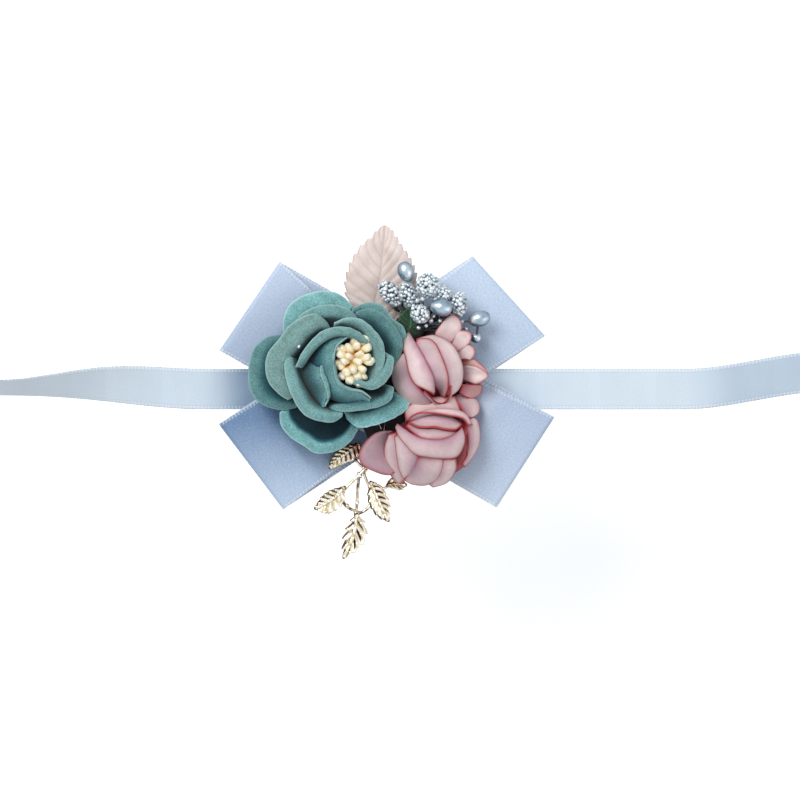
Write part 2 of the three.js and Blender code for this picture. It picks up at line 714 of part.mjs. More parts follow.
const LOWER_PINK_DRAPED = [
  {
    edgePx: [[411, 423], [418, 418], [431, 417], [446, 419], [458.5, 422], [463.5, 428]],
    tuckPx: [[407, 421], [414.5, 417], [429.5, 412], [450.5, 411], [462, 415], [470, 426]],
    liftShare: 0.16, sinkShare: 0.07, puffShare: 0.04,
  },
  {
    edgePx: [[398, 428], [401.5, 437], [409, 446], [416.5, 453], [426, 455.5], [443, 457], [454.5, 455.5],
      [460, 448], [462, 438], [460, 431]],
    tuckPx: [[403, 421.5], [408, 428], [413, 432.5], [421, 437], [434, 439.5], [443, 438], [450, 435], [456, 431],
      [458, 428]],
    liftShare: 0.08, sinkShare: 0.12, puffShare: 0.07,
  },
  {
    edgePx: [[411, 426], [414, 431], [421, 435], [434, 437], [443, 436], [453, 430]],
    tuckPx: [[414, 424], [419, 426], [425.5, 427], [434, 427], [444.5, 427], [454, 426]],
    liftShare: 0.03, sinkShare: -0.02, puffShare: 0.02,
  },
  {
    edgePx: [[456, 397], [463, 396.5], [473.5, 400.5], [477.5, 407], [476, 415], [469, 419]],
    tuckPx: [[452, 400], [455, 404], [459, 409], [462, 414], [465, 419]],
    liftShare: 0.06, sinkShare: 0.05, puffShare: 0.03,
  },
  {
    edgePx: [[408, 406], [413, 400], [425, 396], [440, 395], [452, 398]],
    tuckPx: [[407, 420], [421, 417], [438, 413.5], [450, 413], [463, 416]],
    liftShare: -0.02, sinkShare: 0, puffShare: 0.03,
  },
  {
    edgePx: [[455, 458], [455.5, 466], [452, 474], [446, 481], [433, 485.5]],
    tuckPx: [[441, 459], [441, 465], [439, 472], [435, 477], [428, 482]],
    liftShare: 0.04, sinkShare: 0.02, puffShare: 0.02,
  },
  {
    edgePx: [[471, 418], [475, 419.5], [478.5, 431], [477.5, 444.5], [471, 457], [466, 464]],
    tuckPx: [[464, 420], [465, 427], [466, 435], [466, 445], [464, 455], [460, 462]],
    liftShare: 0.03, sinkShare: 0, puffShare: 0.03,
  },
  {
    edgePx: [[443, 457.5], [443, 465], [439, 477], [432, 482], [424, 484.5], [413, 483], [406, 480]],
    tuckPx: [[425, 455], [420, 458], [416, 462], [412, 467], [409, 471], [406, 475], [404, 478]],
    liftShare: 0, sinkShare: -0.02, puffShare: 0.03,
  },
  {
    edgePx: [[391, 438], [387, 448], [388, 459], [391.5, 472], [398, 481], [403, 483]],
    tuckPx: [[395, 438], [397, 452], [398, 464], [400, 473], [404, 479]],
    liftShare: 0.05, sinkShare: 0.02, puffShare: 0.01,
  },
  {
    edgePx: [[397, 441], [398, 452], [400, 464], [402, 472], [405, 477]],
    tuckPx: [[402, 437], [410, 445], [418, 452], [415, 462], [409, 470]],
    liftShare: -0.03, sinkShare: -0.03, puffShare: 0.02,
  },
];

const LOWER_PINK_CUPPED = [
  {
    rimPx: [[390, 431], [376, 433], [366, 441], [360, 451], [359, 458.5], [362.5, 465], [375, 471.7], [384, 474.6],
      [391, 475]],
    topShare: 0.34, endShare: 0.26, lipShare: 0.12, riseShare: 0.06,
    bellyShare: 0.02, baseShare: 0.75, footShare: 0.05,
  },
];

function pinkCore(name, flower) {
  const shape = (margin) => {
    const radius = flower.radius - PINK_CORE_MARGIN + margin;
    const height = flower.height - PINK_CORE_MARGIN + margin;
    const profile = [[0, -margin]];
    for (let i = 0; i <= CORE_STEPS; i += 1) {
      const angle = (Math.PI / 2) * (i / CORE_STEPS);
      const across = i === CORE_STEPS ? 0 : radius * Math.cos(angle);
      profile.push([across, height * Math.sin(angle) - (i ? 0 : margin)]);
    }
    const geometry = lathe(profile);
    geometry.translate(flower.centre.x, flower.centre.y, FLOWER_Z);
    return solidOf(geometry);
  };
  place(name, shape(0), shape(CLEARANCE), satin('#c98b8b'));
}

function pinkFlower(name, flower, draped, cupped) {
  const material = satin('#e3b7b4');
  pinkCore(`${name}_core`, flower);
  draped.forEach((petal, i) => {
    placeSheet(`${name}_petal_${i + 1}`, drapedGrid(flower, petal), PETAL_SATIN_THICKNESS, material);
  });
  cupped.forEach((petal, i) => {
    const number = draped.length + i + 1;
    placeSheet(`${name}_petal_${number}`, cupGrid(flower, petal), PETAL_SATIN_THICKNESS, material);
  });
}

// Berries: pearls and sugared buds, each on wires that run into one taped bundle.
const WRAP_PX = [414, 331];
const PEARLS = [
  { name: 'pearl_berry_1', berries: [{ px: [406, 272], z: 11, size: [4.1, 5.2, 4.1], degrees: 20 }] },
  { name: 'pearl_berry_2', berries: [{ px: [441, 308], z: 15.2, size: [5.6, 4.4, 4.4], degrees: -8 }] },
  {
    name: 'pearl_berry_3',
    berries: [
      { px: [479, 319], z: 10.5, size: [5.6, 4, 4], degrees: 12 },
      { px: [476, 338], z: 8.6, size: [2.8, 2.6, 2.6], degrees: 0 },
    ],
  },
];
const BUDS = [
  { name: 'sugared_bud_1', berries: [{ px: [390, 294], z: 9.6, size: [7.4, 4, 4], degrees: -50 }] },
  { name: 'sugared_bud_2', berries: [{ px: [408, 295], z: 11, size: [3.6, 6.2, 3.6], degrees: 10 }] },
  {
    name: 'sugared_bud_3',
    berries: [
      { px: [428, 286], z: 12.2, size: [5.4, 6, 5], degrees: 0 },
      { px: [444, 294], z: 12, size: [3, 3.4, 3], degrees: 0 },
      { px: [459, 304], z: 11.6, size: [3.2, 5.6, 3.2], degrees: 0 },
    ],
  },
  { name: 'sugared_bud_4', berries: [{ px: [420, 314], z: 13.4, size: [4.2, 4.4, 4.2], degrees: 0 }] },
];

function ellipsoid(berry, margin) {
  const geometry = new THREE.SphereGeometry(1, BERRY_SIDES, BERRY_RINGS);
  geometry.rotateX(Math.PI / 2);
  geometry.scale(berry.size[0] / 2 + margin, berry.size[1] / 2 + margin, berry.size[2] / 2 + margin);
  geometry.rotateZ(THREE.MathUtils.degToRad(berry.degrees));
  const centre = fromPicture(berry.px, berry.z);
  geometry.translate(centre.x, centre.y, centre.z);
  return solidOf(geometry);
}

function tube(points, radius, steps) {
  const section = new THREE.Shape();
  for (let i = 0; i < WIRE_SIDES; i += 1) {
    const angle = (2 * Math.PI * i) / WIRE_SIDES;
    section.lineTo(radius * Math.cos(angle), radius * Math.sin(angle));
  }
  section.closePath();
  const path = curveThrough(points);
  return solidOf(new THREE.ExtrudeGeometry(section, { steps, extrudePath: path, bevelEnabled: false }));
}

const BERRY_BASE_Z = FLOWER_Z + WRAP_RADIUS;

function wireFor(berry, seat, margin) {
  const centre = fromPicture(berry.px, berry.z);
  const middle = seat.clone().lerp(centre, 0.5);
  middle.z += WIRE_SAG;
  return tube([seat, middle, centre], WIRE_RADIUS + margin, WIRE_STEPS);
}

function berryTwigs() {
  const pearl = metal('#aebfcb');
  const sugar = metal('#8fa2b2');
  const twigs = [...PEARLS.map((twig) => [twig, pearl]), ...BUDS.map((twig) => [twig, sugar])];
  const wrapCentre = fromPicture(WRAP_PX, BERRY_BASE_Z);
  const solids = [];
  twigs.forEach(([twig, material]) => {
    const first = fromPicture(twig.berries[0].px, twig.berries[0].z);
    const heading = first.clone().sub(wrapCentre).setLength(WRAP_RADIUS + WRAP_SEAT_MARGIN);
    const seat = wrapCentre.clone().add(heading);
    const shape = (margin) => {
      let solid = wireFor(twig.berries[0], seat, margin).add(ellipsoid(twig.berries[0], margin));
      for (const berry of twig.berries.slice(1)) {
        const branch = wireFor(berry, fromPicture(twig.berries[0].px, twig.berries[0].z), margin);
        solid = solid.add(branch).add(ellipsoid(berry, margin));
      }
      return solid;
    };
    solids.push([twig.name, shape(0), shape(CLEARANCE), material]);
  });
  solids.forEach((piece) => place(...piece));
}

function berryWrap() {
  const shape = (margin) => {
    const radius = WRAP_RADIUS + margin;
    const geometry = new THREE.SphereGeometry(radius, WRAP_SIDES, WRAP_RINGS);
    const centre = fromPicture(WRAP_PX, BERRY_BASE_Z);
    geometry.translate(centre.x, centre.y, centre.z);
    return solidOf(geometry);
  };
  place('berry_stem_wrap', shape(0), shape(CLEARANCE), matte('#27452f'));
}

// Leaves: a flat outline bent over its midrib.
const PINK_LEAF_PX = {
  left: [[383.5, 225], [380, 229], [369, 236], [362, 244], [353, 258], [347, 273], [345, 287], [347, 299],
    [356, 310], [372, 317], [392, 324]],
  right: [[384.5, 225.5], [392, 230.5], [400, 240], [408, 252], [413, 262], [416, 271], [417.5, 282], [416, 294],
    [412, 305], [407, 314], [400, 326]],
};
const GREEN_LEAF_PX = {
  left: [[401, 313], [400, 317], [401, 323], [403, 329], [406, 336]],
  right: [[403, 313], [408, 315], [411, 320], [411, 328], [409, 336]],
};

function leafGrid(outline, rootZ, tipZ, arch) {
  const left = curveThrough(outline.left.map((px) => fromPicture(px)));
  const right = curveThrough(outline.right.map((px) => fromPicture(px)));
  const grid = [];
  for (let i = 0; i <= LEAF_STEPS; i += 1) {
    const u = i / LEAF_STEPS;
    const a = left.getPointAt(u);
    const b = right.getPointAt(u);
    const row = [];
    for (let j = 0; j <= ACROSS_STEPS; j += 1) {
      const v = j / ACROSS_STEPS;
      const point = a.clone().lerp(b, v);
      point.z = mix(tipZ, rootZ, u) + arch * Math.sin(Math.PI * u) * Math.abs(2 * v - 1);
      row.push(point);
    }
    grid.push(row);
  }
  return grid;
}

function leaves() {
  const pinkRoot = GLUE_Z + LEAF_THICKNESS;
  const pink = leafGrid(PINK_LEAF_PX, pinkRoot, pinkRoot + PINK_LEAF_TIP_RISE, LEAF_ARCH / 2);
  placeSheet('pink_leaf', pink, LEAF_THICKNESS, matte('#dcc6c0'));
  const greenRoot = FLOWER_Z + LEAF_THICKNESS;
  const green = leafGrid(GREEN_LEAF_PX, greenRoot, greenRoot + LEAF_ARCH, 0);
  placeSheet('green_leaf', green, LEAF_THICKNESS, matte('#2f4f38'));
}

// Gold sprig: leaves cut from sheet, joined by thin wires into one casting.
const SPRIG_LEAVES_PX = [
  [[329, 469], [330, 461], [335, 452], [344, 446], [360, 443], [361, 450], [356, 459], [346, 463], [336, 467]],
  [[314, 509], [319, 500], [322, 496], [331, 490], [341, 485], [345, 490], [344, 500], [340, 508], [335, 511],
    [326, 514]],
  [[343, 559], [343, 548], [344, 536], [349, 525], [357, 513], [364, 523], [366, 532], [363, 543], [354, 552]],
  [[389, 522], [379, 518], [372, 510], [368, 500], [369, 489], [372, 481], [380, 485], [386, 494], [390, 506]],
  [[387, 486], [390, 479], [399, 477], [407, 485], [402, 490], [393, 489]],
];
const SPRIG_WIRES_PX = [
  [[379, 448], [364, 468], [372, 494]],
  [[368, 466], [356, 478], [341, 493]],
  [[359, 472], [357, 500], [356, 522]],
  [[340, 497], [347, 507], [360, 513]],
  [[373, 500], [367, 509], [354, 516]],
  [[369, 491], [382, 489], [393, 484]],
  [[367, 471], [358, 463], [351, 454]],
];
const SPRIG_Z = GLUE_Z + SPRIG_WIRE_RADIUS;

function sprigSolid(margin) {
  const parts = [];
  for (const outline of SPRIG_LEAVES_PX) {
    const corners = outline.map((px) => fromPicture(px)).map((p) => new THREE.Vector2(p.x, p.y));
    const shape = new THREE.Shape(corners);
    const depth = SPRIG_THICKNESS + 2 * margin;
    const geometry = new THREE.ExtrudeGeometry(shape, { depth, bevelEnabled: false, steps: 1 });
    geometry.translate(0, 0, SPRIG_Z - depth / 2);
    parts.push(solidOf(geometry));
  }
  for (const route of SPRIG_WIRES_PX) {
    const points = route.map((px) => fromPicture(px, SPRIG_Z));
    parts.push(tube(points, SPRIG_WIRE_RADIUS + margin, SPRIG_WIRE_STEPS));
  }
  return parts.reduce((sum, part) => sum.add(part));
}

function goldSprig() {
  place('gold_sprig', sprigSolid(0), sprigSolid(CLEARANCE), metal('#d9b978'));
}

// Glue bed under the flowers.
const GLUE_OUTLINE_PX = [[300, 350], [322, 336], [360, 338], [398, 326], [425, 322], [448, 340], [466, 372],
  [466, 440], [446, 468], [408, 464], [372, 448], [356, 412], [322, 404], [299, 384]];

function glueBed() {
  const corners = GLUE_OUTLINE_PX.map((px) => fromPicture(px)).map((p) => new THREE.Vector2(p.x, p.y));
  const shape = new THREE.Shape(corners);
  const geometry = new THREE.ExtrudeGeometry(shape, { depth: GLUE_THICKNESS, bevelEnabled: false });
  geometry.translate(0, 0, GLUE_Z);
  const solid = solidOf(geometry);
  place('glue_bed', solid, solid, matte('#e8e4da'));
}

feltPad();
wristRibbon();
bowRibbon('lower_bow_ribbon', LOWER_BOW, LOWER_BOW_Z, satin('#b3c3e0'));
bowRibbon('upper_bow_ribbon', UPPER_BOW, UPPER_BOW_Z, satin('#b9c8e3'));
goldSprig();
leaves();
glueBed();
berryWrap();
berryTwigs();
rose();
pinkFlower('upper_pink', UPPER_PINK, UPPER_PINK_DRAPED, UPPER_PINK_CUPPED);
pinkFlower('lower_pink', LOWER_PINK, LOWER_PINK_DRAPED, LOWER_PINK_CUPPED);

export default corsage;
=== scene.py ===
import math
import random
from bisect import bisect_right

import bpy
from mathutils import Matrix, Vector, noise
from mathutils.bvhtree import BVHTree


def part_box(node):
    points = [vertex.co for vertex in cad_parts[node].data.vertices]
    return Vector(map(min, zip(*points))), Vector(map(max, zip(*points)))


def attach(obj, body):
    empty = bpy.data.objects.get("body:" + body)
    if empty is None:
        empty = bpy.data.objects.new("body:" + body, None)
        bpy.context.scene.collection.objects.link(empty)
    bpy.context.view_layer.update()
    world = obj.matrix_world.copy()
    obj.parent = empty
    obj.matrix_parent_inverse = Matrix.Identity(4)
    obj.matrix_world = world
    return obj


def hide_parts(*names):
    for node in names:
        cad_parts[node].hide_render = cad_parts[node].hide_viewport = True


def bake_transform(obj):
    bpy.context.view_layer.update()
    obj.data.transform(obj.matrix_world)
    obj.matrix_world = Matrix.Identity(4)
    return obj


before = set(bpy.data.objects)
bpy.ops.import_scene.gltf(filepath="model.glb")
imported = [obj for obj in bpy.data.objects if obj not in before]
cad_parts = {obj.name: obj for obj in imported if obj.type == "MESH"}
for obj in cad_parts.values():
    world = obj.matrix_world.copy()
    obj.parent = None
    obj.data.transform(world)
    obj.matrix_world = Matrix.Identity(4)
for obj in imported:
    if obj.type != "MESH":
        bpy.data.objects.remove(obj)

# Looks of the wrist corsage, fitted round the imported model. Lengths are in millimetres until a mesh is made.
MM = 0.001
SEED = 7
TINY = 1e-6
GOLDEN_ANGLE = math.pi * (3 - math.sqrt(5))
UP = Vector((0, 0, 1))
WHITE = (1, 1, 1, 1)
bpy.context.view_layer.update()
random.seed(SEED)


def low_mm(node):
    return Vector(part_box(node)[0]) / MM


def high_mm(node):
    return Vector(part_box(node)[1]) / MM


# Plan places are read from a picture taken from straight above.
MM_PER_PX = 0.25
ORIGIN_PX = (381, 385)
PICTURE_PX = 800
CLEARANCE = 0.3
SATIN_THICKNESS = 0.4
PETAL_SATIN_THICKNESS = 0.45
SUEDE_THICKNESS = 0.75
LEAF_THICKNESS = 0.4

# Heights of the stack, from the frame.
PAD_TOP = high_mm("felt_pad").z
RIBBON_Z = PAD_TOP + CLEARANCE
LOWER_BOW_Z = low_mm("lower_bow_ribbon").z
UPPER_BOW_Z = low_mm("upper_bow_ribbon").z
GLUE_Z = low_mm("glue_bed").z
FLOWER_Z = high_mm("glue_bed").z + CLEARANCE
RIBBON_END_X = high_mm("right_ribbon_3").x


def mix(a, b, share):
    return a + (b - a) * share


def smooth(start, end, x):
    share = min(max((x - start) / (end - start), 0), 1)
    return share * share * (3 - 2 * share)


def between(x, start, full, fade, end):
    """A smooth step up from start to full, and down from fade to end."""
    return smooth(start, full, x) * (1 - smooth(fade, end, x))


def arch(share):
    """Up from 0 to 1 at the half, and back."""
    return math.sin(math.pi * share)


def bell(x, width):
    return math.exp(-(x / width) ** 2)


def from_picture(px, z=0.0):
    return Vector(((px[0] - ORIGIN_PX[0]) * MM_PER_PX, (ORIGIN_PX[1] - px[1]) * MM_PER_PX, z))


def along_and_across(degrees):
    """The two plan directions of something turned about the upright."""
    turn = math.radians(degrees)
    return Vector((math.cos(turn), math.sin(turn), 0)), Vector((-math.sin(turn), math.cos(turn), 0))


def linear(hex_colour):
    """Scene colour of a written one, with an alpha of 1."""
    channels = [int(hex_colour[i:i + 2], 16) / 255 for i in (1, 3, 5)]
    return tuple(c / 12.92 if c <= 0.04045 else ((c + 0.055) / 1.055) ** 2.4 for c in channels) + (1,)


class Spline:
    """Centripetal curve through points, read by its parameter or by share of its length."""

    SAMPLES = 200

    def __init__(self, points):
        self.points = [Vector(p).to_3d() for p in points]
        samples = [self.at(i / self.SAMPLES) for i in range(self.SAMPLES + 1)]
        self.reached = [0.0]
        for before, after in zip(samples, samples[1:]):
            self.reached.append(self.reached[-1] + (after - before).length)
        self.length = self.reached[-1]

    def at(self, t):
        points = self.points
        last = len(points) - 1
        first = min(int(t * last), last - 1)
        weight = t * last - first
        p1, p2 = points[first], points[first + 1]
        p0 = points[first - 1] if first > 0 else p1 * 2 - p2
        p3 = points[first + 2] if first + 2 <= last else p2 * 2 - p1
        d1 = (p2 - p1).length ** 0.5 or 1
        d0 = (p1 - p0).length ** 0.5 or d1
        d2 = (p3 - p2).length ** 0.5 or d1
        m1 = ((p1 - p0) / d0 - (p2 - p0) / (d0 + d1) + (p2 - p1) / d1) * d1
        m2 = ((p2 - p1) / d1 - (p3 - p1) / (d1 + d2) + (p3 - p2) / d2) * d1
        c2 = -3 * p1 + 3 * p2 - 2 * m1 - m2
        c3 = 2 * p1 - 2 * p2 + m1 + m2
        return p1 + m1 * weight + c2 * weight ** 2 + c3 * weight ** 3

    def along(self, share):
        goal = share * self.length
        low = min(bisect_right(self.reached, goal), self.SAMPLES) - 1
        part = (goal - self.reached[low]) / (self.reached[low + 1] - self.reached[low])
        return self.at((low + part) / self.SAMPLES)


# Meshes
# Width of a sheet's rounded rim as a share of its thickness, and the stations over it.
RIM_SHARE = 0.6
RIM_STATIONS = (0.0, 0.05, 0.2, 0.5, 1.0)


def stations(count, length, thickness, open_start=False, open_end=False):
    """Shares from 0 to 1 along a sheet, with close ones inside each rounded rim."""
    rim = thickness * RIM_SHARE
    near = [0.0] if open_start else [s * rim / length for s in RIM_STATIONS]
    far = [1.0] if open_end else [1 - s * rim / length for s in reversed(RIM_STATIONS)]
    middle = [mix(near[-1], far[0], i / count) for i in range(1, count)]
    return near + middle + far


def new_mesh(name, points, faces, materials, indices=None, bodies=("corsage",), slot=None):
    """A smooth piece. It rides on its body where it has one, and stays free where it has two."""
    mesh = bpy.data.meshes.new(name)
    mesh.from_pydata([p * MM for p in points], [], faces)
    for material in materials:
        mesh.materials.append(material)
    mesh.polygons.foreach_set("use_smooth", [True] * len(faces))
    if indices:
        mesh.polygons.foreach_set("material_index", indices)
    mesh.update()
    piece = bpy.data.objects.new(name, mesh)
    bpy.context.scene.collection.objects.link(piece)
    if len(bodies) == 1:
        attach(piece, bodies[0])
    return piece


def add_values(piece, values):
    """Named numbers on the corners, which the materials read."""
    for name, numbers in values.items():
        attribute = piece.data.attributes.new(name, "FLOAT", "POINT")
        attribute.data.foreach_set("value", numbers)


def add_uv(piece, places):
    """UV in metres from a place in millimetres for each corner."""
    mesh = piece.data
    layer = mesh.uv_layers.new(name="UVMap")
    flat = []
    for loop in mesh.loops:
        flat.extend(c * MM for c in places[loop.vertex_index])
    layer.data.foreach_set("uv", flat)


class Bundle:
    """Meshes gathered into one piece, each with its material's index and the numbers its material reads."""

    def __init__(self):
        self.points, self.faces, self.indices, self.values = [], [], [], {}

    def add(self, mesh, index=0, **values):
        """A number stands for all corners of the mesh, and a list holds one for each."""
        points, faces = mesh
        start = len(self.points)
        self.points += points
        self.faces += [tuple(start + corner for corner in face) for face in faces]
        self.indices += [index] * len(faces)
        for key, numbers in values.items():
            numbers = numbers if isinstance(numbers, list) else [numbers] * len(points)
            self.values.setdefault(key, []).extend(numbers)

    def piece(self, name, materials, **words):
        piece = new_mesh(name, self.points, self.faces, materials, self.indices, **words)
        add_values(piece, self.values)
        return piece


def grid_normals(grid):
    rows, columns = len(grid), len(grid[0])
    normals = []
    for i in range(rows):
        row = []
        for j in range(columns):
            along = grid[min(i + 1, rows - 1)][j] - grid[max(i - 1, 0)][j]
            across = grid[i][min(j + 1, columns - 1)] - grid[i][max(j - 1, 0)]
            row.append(along.cross(across).normalized())
        normals.append(row)
    return normals


def border_distances(grid):
    """For each point its distance to the first and last row, and to the first and last column."""
    rows, columns = len(grid), len(grid[0])
    along = [[0.0] * columns for _ in range(rows)]
    across = [[0.0] * columns for _ in range(rows)]
    for i in range(rows):
        for j in range(columns):
            if i:
                along[i][j] = along[i - 1][j] + (grid[i][j] - grid[i - 1][j]).length
            if j:
                across[i][j] = across[i][j - 1] + (grid[i][j] - grid[i][j - 1]).length
    return along, across


def rounding(distance, rim):
    """Share of a sheet's thickness at a distance from its rounded edge."""
    share = min(distance / rim, 1)
    return math.sqrt(max(1 - (1 - share) ** 2, 0))


def shell_faces(where, rows, columns, open_rows):
    """Faces of a sheet with the index of their material, then the flat ends of its open rows."""
    faces, indices, ends = [], [], []
    for side in (1, -1):
        for i in range(rows - 1):
            for j in range(columns - 1):
                corners = [(i, j), (i + 1, j), (i + 1, j + 1), (i, j + 1)]
                face = [where[side, a, b] for a, b in corners[::side]]
                if len(set(face)) > 2:
                    faces.append(face)
                    indices.append(0 if side > 0 else 1)
    for is_open, i in zip(open_rows, (0, rows - 1)):
        for j in range(columns - 1) if is_open else ():
            face = [where[1, i, j], where[1, i, j + 1], where[-1, i, j + 1], where[-1, i, j]]
            face = list(dict.fromkeys(face if i == 0 else face[::-1]))
            if len(face) > 2:
                ends.append(face)
    return faces, indices, ends


def shell(name, grid, thickness, materials, open_rows=(False, False), values=None, rim_share=RIM_SHARE,
          **words):
    """A sheet round a grid of points, with a second material on its lower side. Its rims are rounded, apart
    from open rows. Materials read how far a corner is from the edge and how deep it is tucked."""
    normals = grid_normals(grid)
    along, across = border_distances(grid)
    values = values or {}
    points, places, where = [], [], {}
    numbers = {key: [] for key in ("edge", "deep", *values)}
    for side in (1, -1):
        for i, row in enumerate(grid):
            for j, point in enumerate(row):
                ends = (along[i][j], along[-1][j] - along[i][j])
                left, right = across[i][j], across[i][-1] - across[i][j]
                closed_ends = [end for end, is_open in zip(ends, open_rows) if not is_open]
                half = thickness / 2
                for distance in (*closed_ends, left, right):
                    half *= rounding(distance, thickness * rim_share)
                if side < 0 and half < TINY:
                    where[side, i, j] = where[1, i, j]
                    continue
                where[side, i, j] = len(points)
                points.append(point + normals[i][j] * (side * half))
                places.append((along[i][j], across[i][j]))
                numbers["edge"].append(min(left, right) if any(open_rows) else min(left, *ends))
                numbers["deep"].append(left / max(across[i][-1], TINY))
                for key, table in values.items():
                    numbers[key].append(table[i][j] if isinstance(table, list) else table)
    faces, indices, flat_ends = shell_faces(where, len(grid), len(grid[0]), open_rows)
    if len(materials) == 1:
        indices = [0] * len(faces)
    piece = new_mesh(name, points, faces + flat_ends, materials, indices + [0] * len(flat_ends), **words)
    sharp = {corner for face in flat_ends for corner in face}
    for edge in piece.data.edges if sharp else ():
        edge.use_edge_sharp = all(corner in sharp for corner in edge.vertices)
    add_uv(piece, places)
    add_values(piece, numbers)
    return piece


def ring_faces(rings, sides, start=0):
    """Faces between rings of corners that follow each other."""
    faces = []
    for first in range(start, start + (rings - 1) * sides, sides):
        for k in range(sides):
            a, b = first + k, first + (k + 1) % sides
            faces.append((a, b, b + sides, a + sides))
    return faces


def end_faces(rings, sides):
    """Faces that close the first and the last ring."""
    last = (rings - 1) * sides
    return [tuple(range(sides - 1, -1, -1)), tuple(range(last, last + sides))]


# Where a tube's path is too steep for the upright to turn its rings.
STEEP = 0.95


def tube(path, radius, sides, count):
    """A closed tube along a curve. The radius is a number or a function of the share of the length."""
    points = []
    radius_at = radius if callable(radius) else (lambda share: radius)
    up = UP
    places = [path.along(i / count) for i in range(count + 1)]
    for i, place in enumerate(places):
        forward = (places[min(i + 1, count)] - places[max(i - 1, 0)]).normalized()
        if abs(forward.z) > STEEP:
            up = Vector((1, 0, 0))
        side = forward.cross(up).normalized()
        upward = side.cross(forward)
        for k in range(sides):
            angle = 2 * math.pi * k / sides
            offset = side * math.cos(angle) + upward * math.sin(angle)
            points.append(place + offset * radius_at(i / count))
    return points, ring_faces(count + 1, sides) + end_faces(count + 1, sides)


def round_axes(radius, height=None):
    """Three axes of a round ball, or of one pressed to another half height."""
    return Vector((radius, 0, 0)), Vector((0, radius, 0)), UP * (radius if height is None else height)


def ball(centre, axes, rings=10, sides=14, profile=None):
    """A ball stretched along three axes. The profile gives its radius share from one pole to the other."""
    points = [centre + axes[2]]
    for i in range(1, rings):
        angle = math.pi * i / rings
        share = profile(i / rings) if profile else math.sin(angle)
        for k in range(sides):
            turn = 2 * math.pi * k / sides
            across = axes[0] * math.cos(turn) + axes[1] * math.sin(turn)
            points.append(centre + axes[2] * math.cos(angle) + across * share)
    points.append(centre - axes[2])
    last = len(points) - 1
    faces = [(0, 1 + k, 1 + (k + 1) % sides) for k in range(sides)]
    faces += [(a, d, c, b) for a, b, c, d in ring_faces(rings - 1, sides, 1)]
    faces += [(last, last - sides + (k + 1) % sides, last - sides + k) for k in range(sides)]
    return points, faces


OPEN_RAYS = 14
OPEN_REACH = 7
OPEN_START = 0.06
FAR_HIT_SHARE = 0.6


def open_directions():
    """Even directions over half a ball, thicker towards its pole."""
    found = []
    for i in range(OPEN_RAYS):
        share = (i + 0.5) / OPEN_RAYS
        ring, up = math.sqrt(share), math.sqrt(1 - share)
        found.append(Vector((ring * math.cos(i * GOLDEN_ANGLE), ring * math.sin(i * GOLDEN_ANGLE), up)))
    return found


def add_openness_for_painted_shade(pieces):
    """For each corner the share of free directions, from which the materials paint shade where petals crowd.
    """
    crowd = Bundle()
    for piece in pieces:
        crowd.add(([v.co / MM for v in piece.data.vertices], [f.vertices for f in piece.data.polygons]))
    tree = BVHTree.FromPolygons(crowd.points, crowd.faces)
    directions = open_directions()
    for piece in pieces:
        numbers = []
        for vertex in piece.data.vertices:
            turn = vertex.normal.to_track_quat("Z", "Y").to_matrix()
            start = vertex.co / MM + vertex.normal * OPEN_START
            blocked = 0
            for direction in directions:
                hit, _, _, distance = tree.ray_cast(start, turn @ direction, OPEN_REACH)
                if hit is not None:
                    blocked += 1 - FAR_HIT_SHARE * distance / OPEN_REACH
            numbers.append(1 - blocked / OPEN_RAYS)
        add_values(piece, {"open": numbers})


# Materials
# Spacing of a wave texture's bands at a scale of one.
WAVE_SPACING = 0.314


